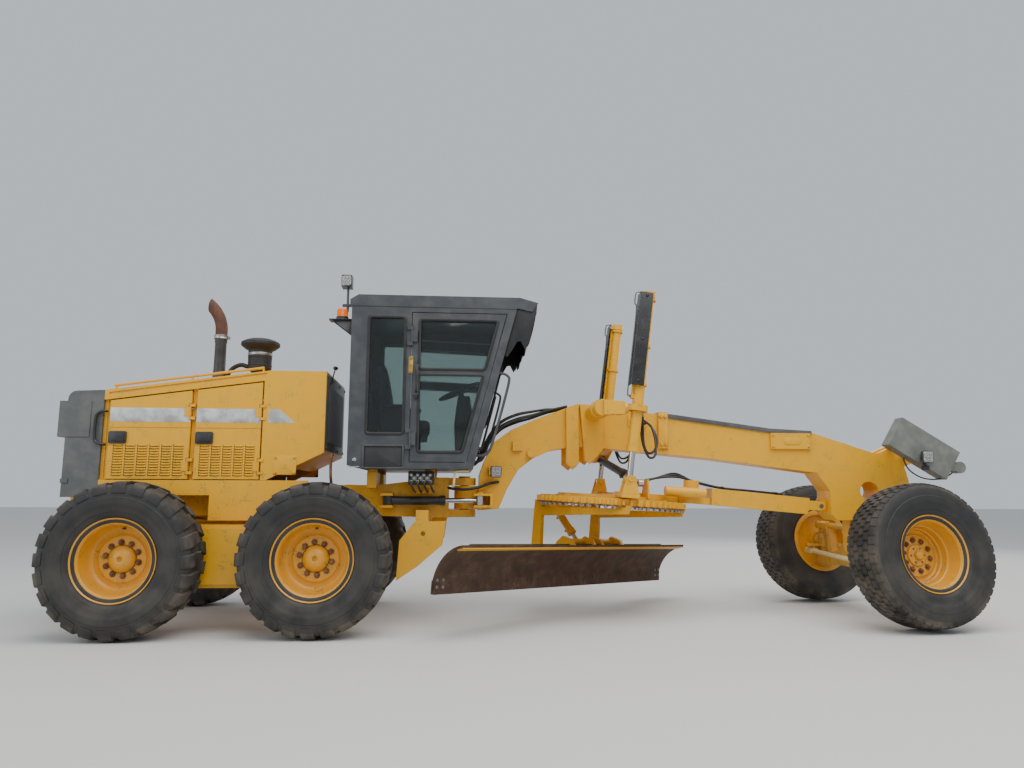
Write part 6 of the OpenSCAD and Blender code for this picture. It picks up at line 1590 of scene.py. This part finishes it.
# %% Stalk on the hood
stalk = tube(smooth_path([spot(0.792, -0.440, 2.322), spot(0.812, -0.440, 2.336),
                          spot(0.826, -0.440, 2.400), spot(0.842, -0.440, 2.470)], 6), 0.0065, 10)
knob = aimed(turned([(-0.020, 0), (-0.018, 0.016), (-0.006, 0.025), (0.006, 0.025), (0.016, 0.016),
                     (0.018, 0)], 18, False),
             [spot(0.846, -0.440, 2.484)], (0.25, 0, 1))
tabs = aimed(small_bolt, [spot(0.791, -0.440, 2.322)], (1, 0, 0))
place_mesh("hood_stalk", *join_parts([stalk, knob, tabs]), "black_steel", "rear")

# %% [markdown]
# Under the cab's door hangs the valve block that the levers work: a dark manifold with two rows of
# turned fittings. The pale Z-shaped pipe beside it is the door's step rail.

# %% Valve block and step rail
manifold = side_plate(rounded_box(1.600, 1.850, 1.330, 1.462, 0.008), -1, 0.560, 0.062, 0.006)
PORT_XS = (1.632, 1.692, 1.752, 1.812)
ports = [aimed(fitting, spots(PORT_XS, [-0.620], (1.362, 1.424)), (0, -1, 0)),
         aimed(big_bolt, spots((1.660, 1.722, 1.784), [-0.620], [1.394]), (0, -1, 0))]
place_mesh("valve_block", *manifold, "engine_iron", "rear", 40)
place_mesh("valve_fittings", *join_parts(ports), "zinc", "rear", 40)
VALVE_ROUTE = [(0, -0.664, 1.362), (0, -0.690, 1.350), (0.015, -0.690, 1.310), (0.030, -0.640, 1.270),
               (0.035, -0.560, 1.262), (0.035, -0.470, 1.268)]
for k, x in enumerate(PORT_XS):
    stops = [spot(x + ahead, y, z) for ahead, y, z in VALVE_ROUTE]
    hose(f"valve_hose_{k}", stops, 0.020, "rear", 5)
rail = tube(smooth_path([spot(2.034, -0.560, 1.315), spot(2.034, -0.665, 1.318), spot(2.040, -0.690, 1.345),
                         spot(2.046, -0.692, 1.430), spot(2.062, -0.692, 1.456), spot(2.110, -0.690, 1.462),
                         spot(2.160, -0.672, 1.464), spot(2.176, -0.640, 1.474)], 6), 0.012, 12)
place_mesh("step_rail", *rail, "tie_rod_cream", "rear")
print("recess, stalk, valve block and rail")

# %% [markdown]
# Hoses lie along the drawbar from the beam's front to the swing cylinder, held by two clamps.
# The drawbar leans, so their stops are given along its own slope.

# %% Hoses on the drawbar
BALL = np.array(joint["drawbar_lift"]["pos_m"])
slope = math.atan2(circle_up[0], circle_up[2])


def on_drawbar(back, y, up):
    """A place on the drawbar: back from its ball along its slope, and up from that line."""
    return BALL + (-back * math.cos(slope) + up * math.sin(slope), y,
                   back * math.sin(slope) + up * math.cos(slope))


for k in range(3):
    y = -0.060 + 0.040 * k
    stops = [(0.420, y, 0.100), (0.52, y, 0.104), (0.80, y, 0.114), (1.10, y, 0.124),
             (1.36, y - 0.02, 0.165), (1.60, y - 0.10, 0.200 + 0.02 * k), (1.82, y - 0.16, 0.176),
             (1.96, y - 0.19, 0.134 + 0.004 * k)]
    hose(f"drawbar_hose_{k}", [on_drawbar(*stop) for stop in stops], 0.022, "drawbar", 5)
strap = rounded_box(-0.110, 0.110, -0.014, 0.014, 0.004)
strap_way = (-math.cos(slope), 0, math.sin(slope))
clamps = [plate(strap, 0.006, on_drawbar(*place), (0, 1, 0), strap_way)
          for place in ((0.50, 0.0, 0.112), (1.08, 0.0, 0.133))]
place_mesh("drawbar_hose_clamps", *join_parts(clamps), "zinc", "drawbar")

# %% [markdown]
# The slab beside the nose carries a work lamp on a bracket, and a cable that sags below it.

# %% Slab's lamp and cable
bracket = join_parts([side_plate(rounded_box(6.790, 6.822, 1.520, 1.640, 0.004), -1, 0.6205, 0.010, 0.002),
                      side_plate(rounded_box(6.770, 6.842, 1.500, 1.545, 0.004), -1, 0.6205, 0.020, 0.003)])
place_mesh("slab_lamp_bracket", *bracket, "black_steel", "front")
stops = side_stops(-1, [(6.640, 0.540, 1.632), (6.642, 0.541, 1.590), (6.690, 0.545, 1.500),
                        (6.800, 0.548, 1.430), (6.920, 0.552, 1.408), (7.020, 0.556, 1.420),
                        (7.100, 0.556, 1.450), (7.140, 0.552, 1.478)])
hose("slab_cable", stops, 0.014, "front", 5)

# %% [markdown]
# Last, the sizes of the dressed machine are printed. Nothing that is added may make it
# bigger.

# %% Sizes
low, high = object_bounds()
print("dressed from", low, "to", high)
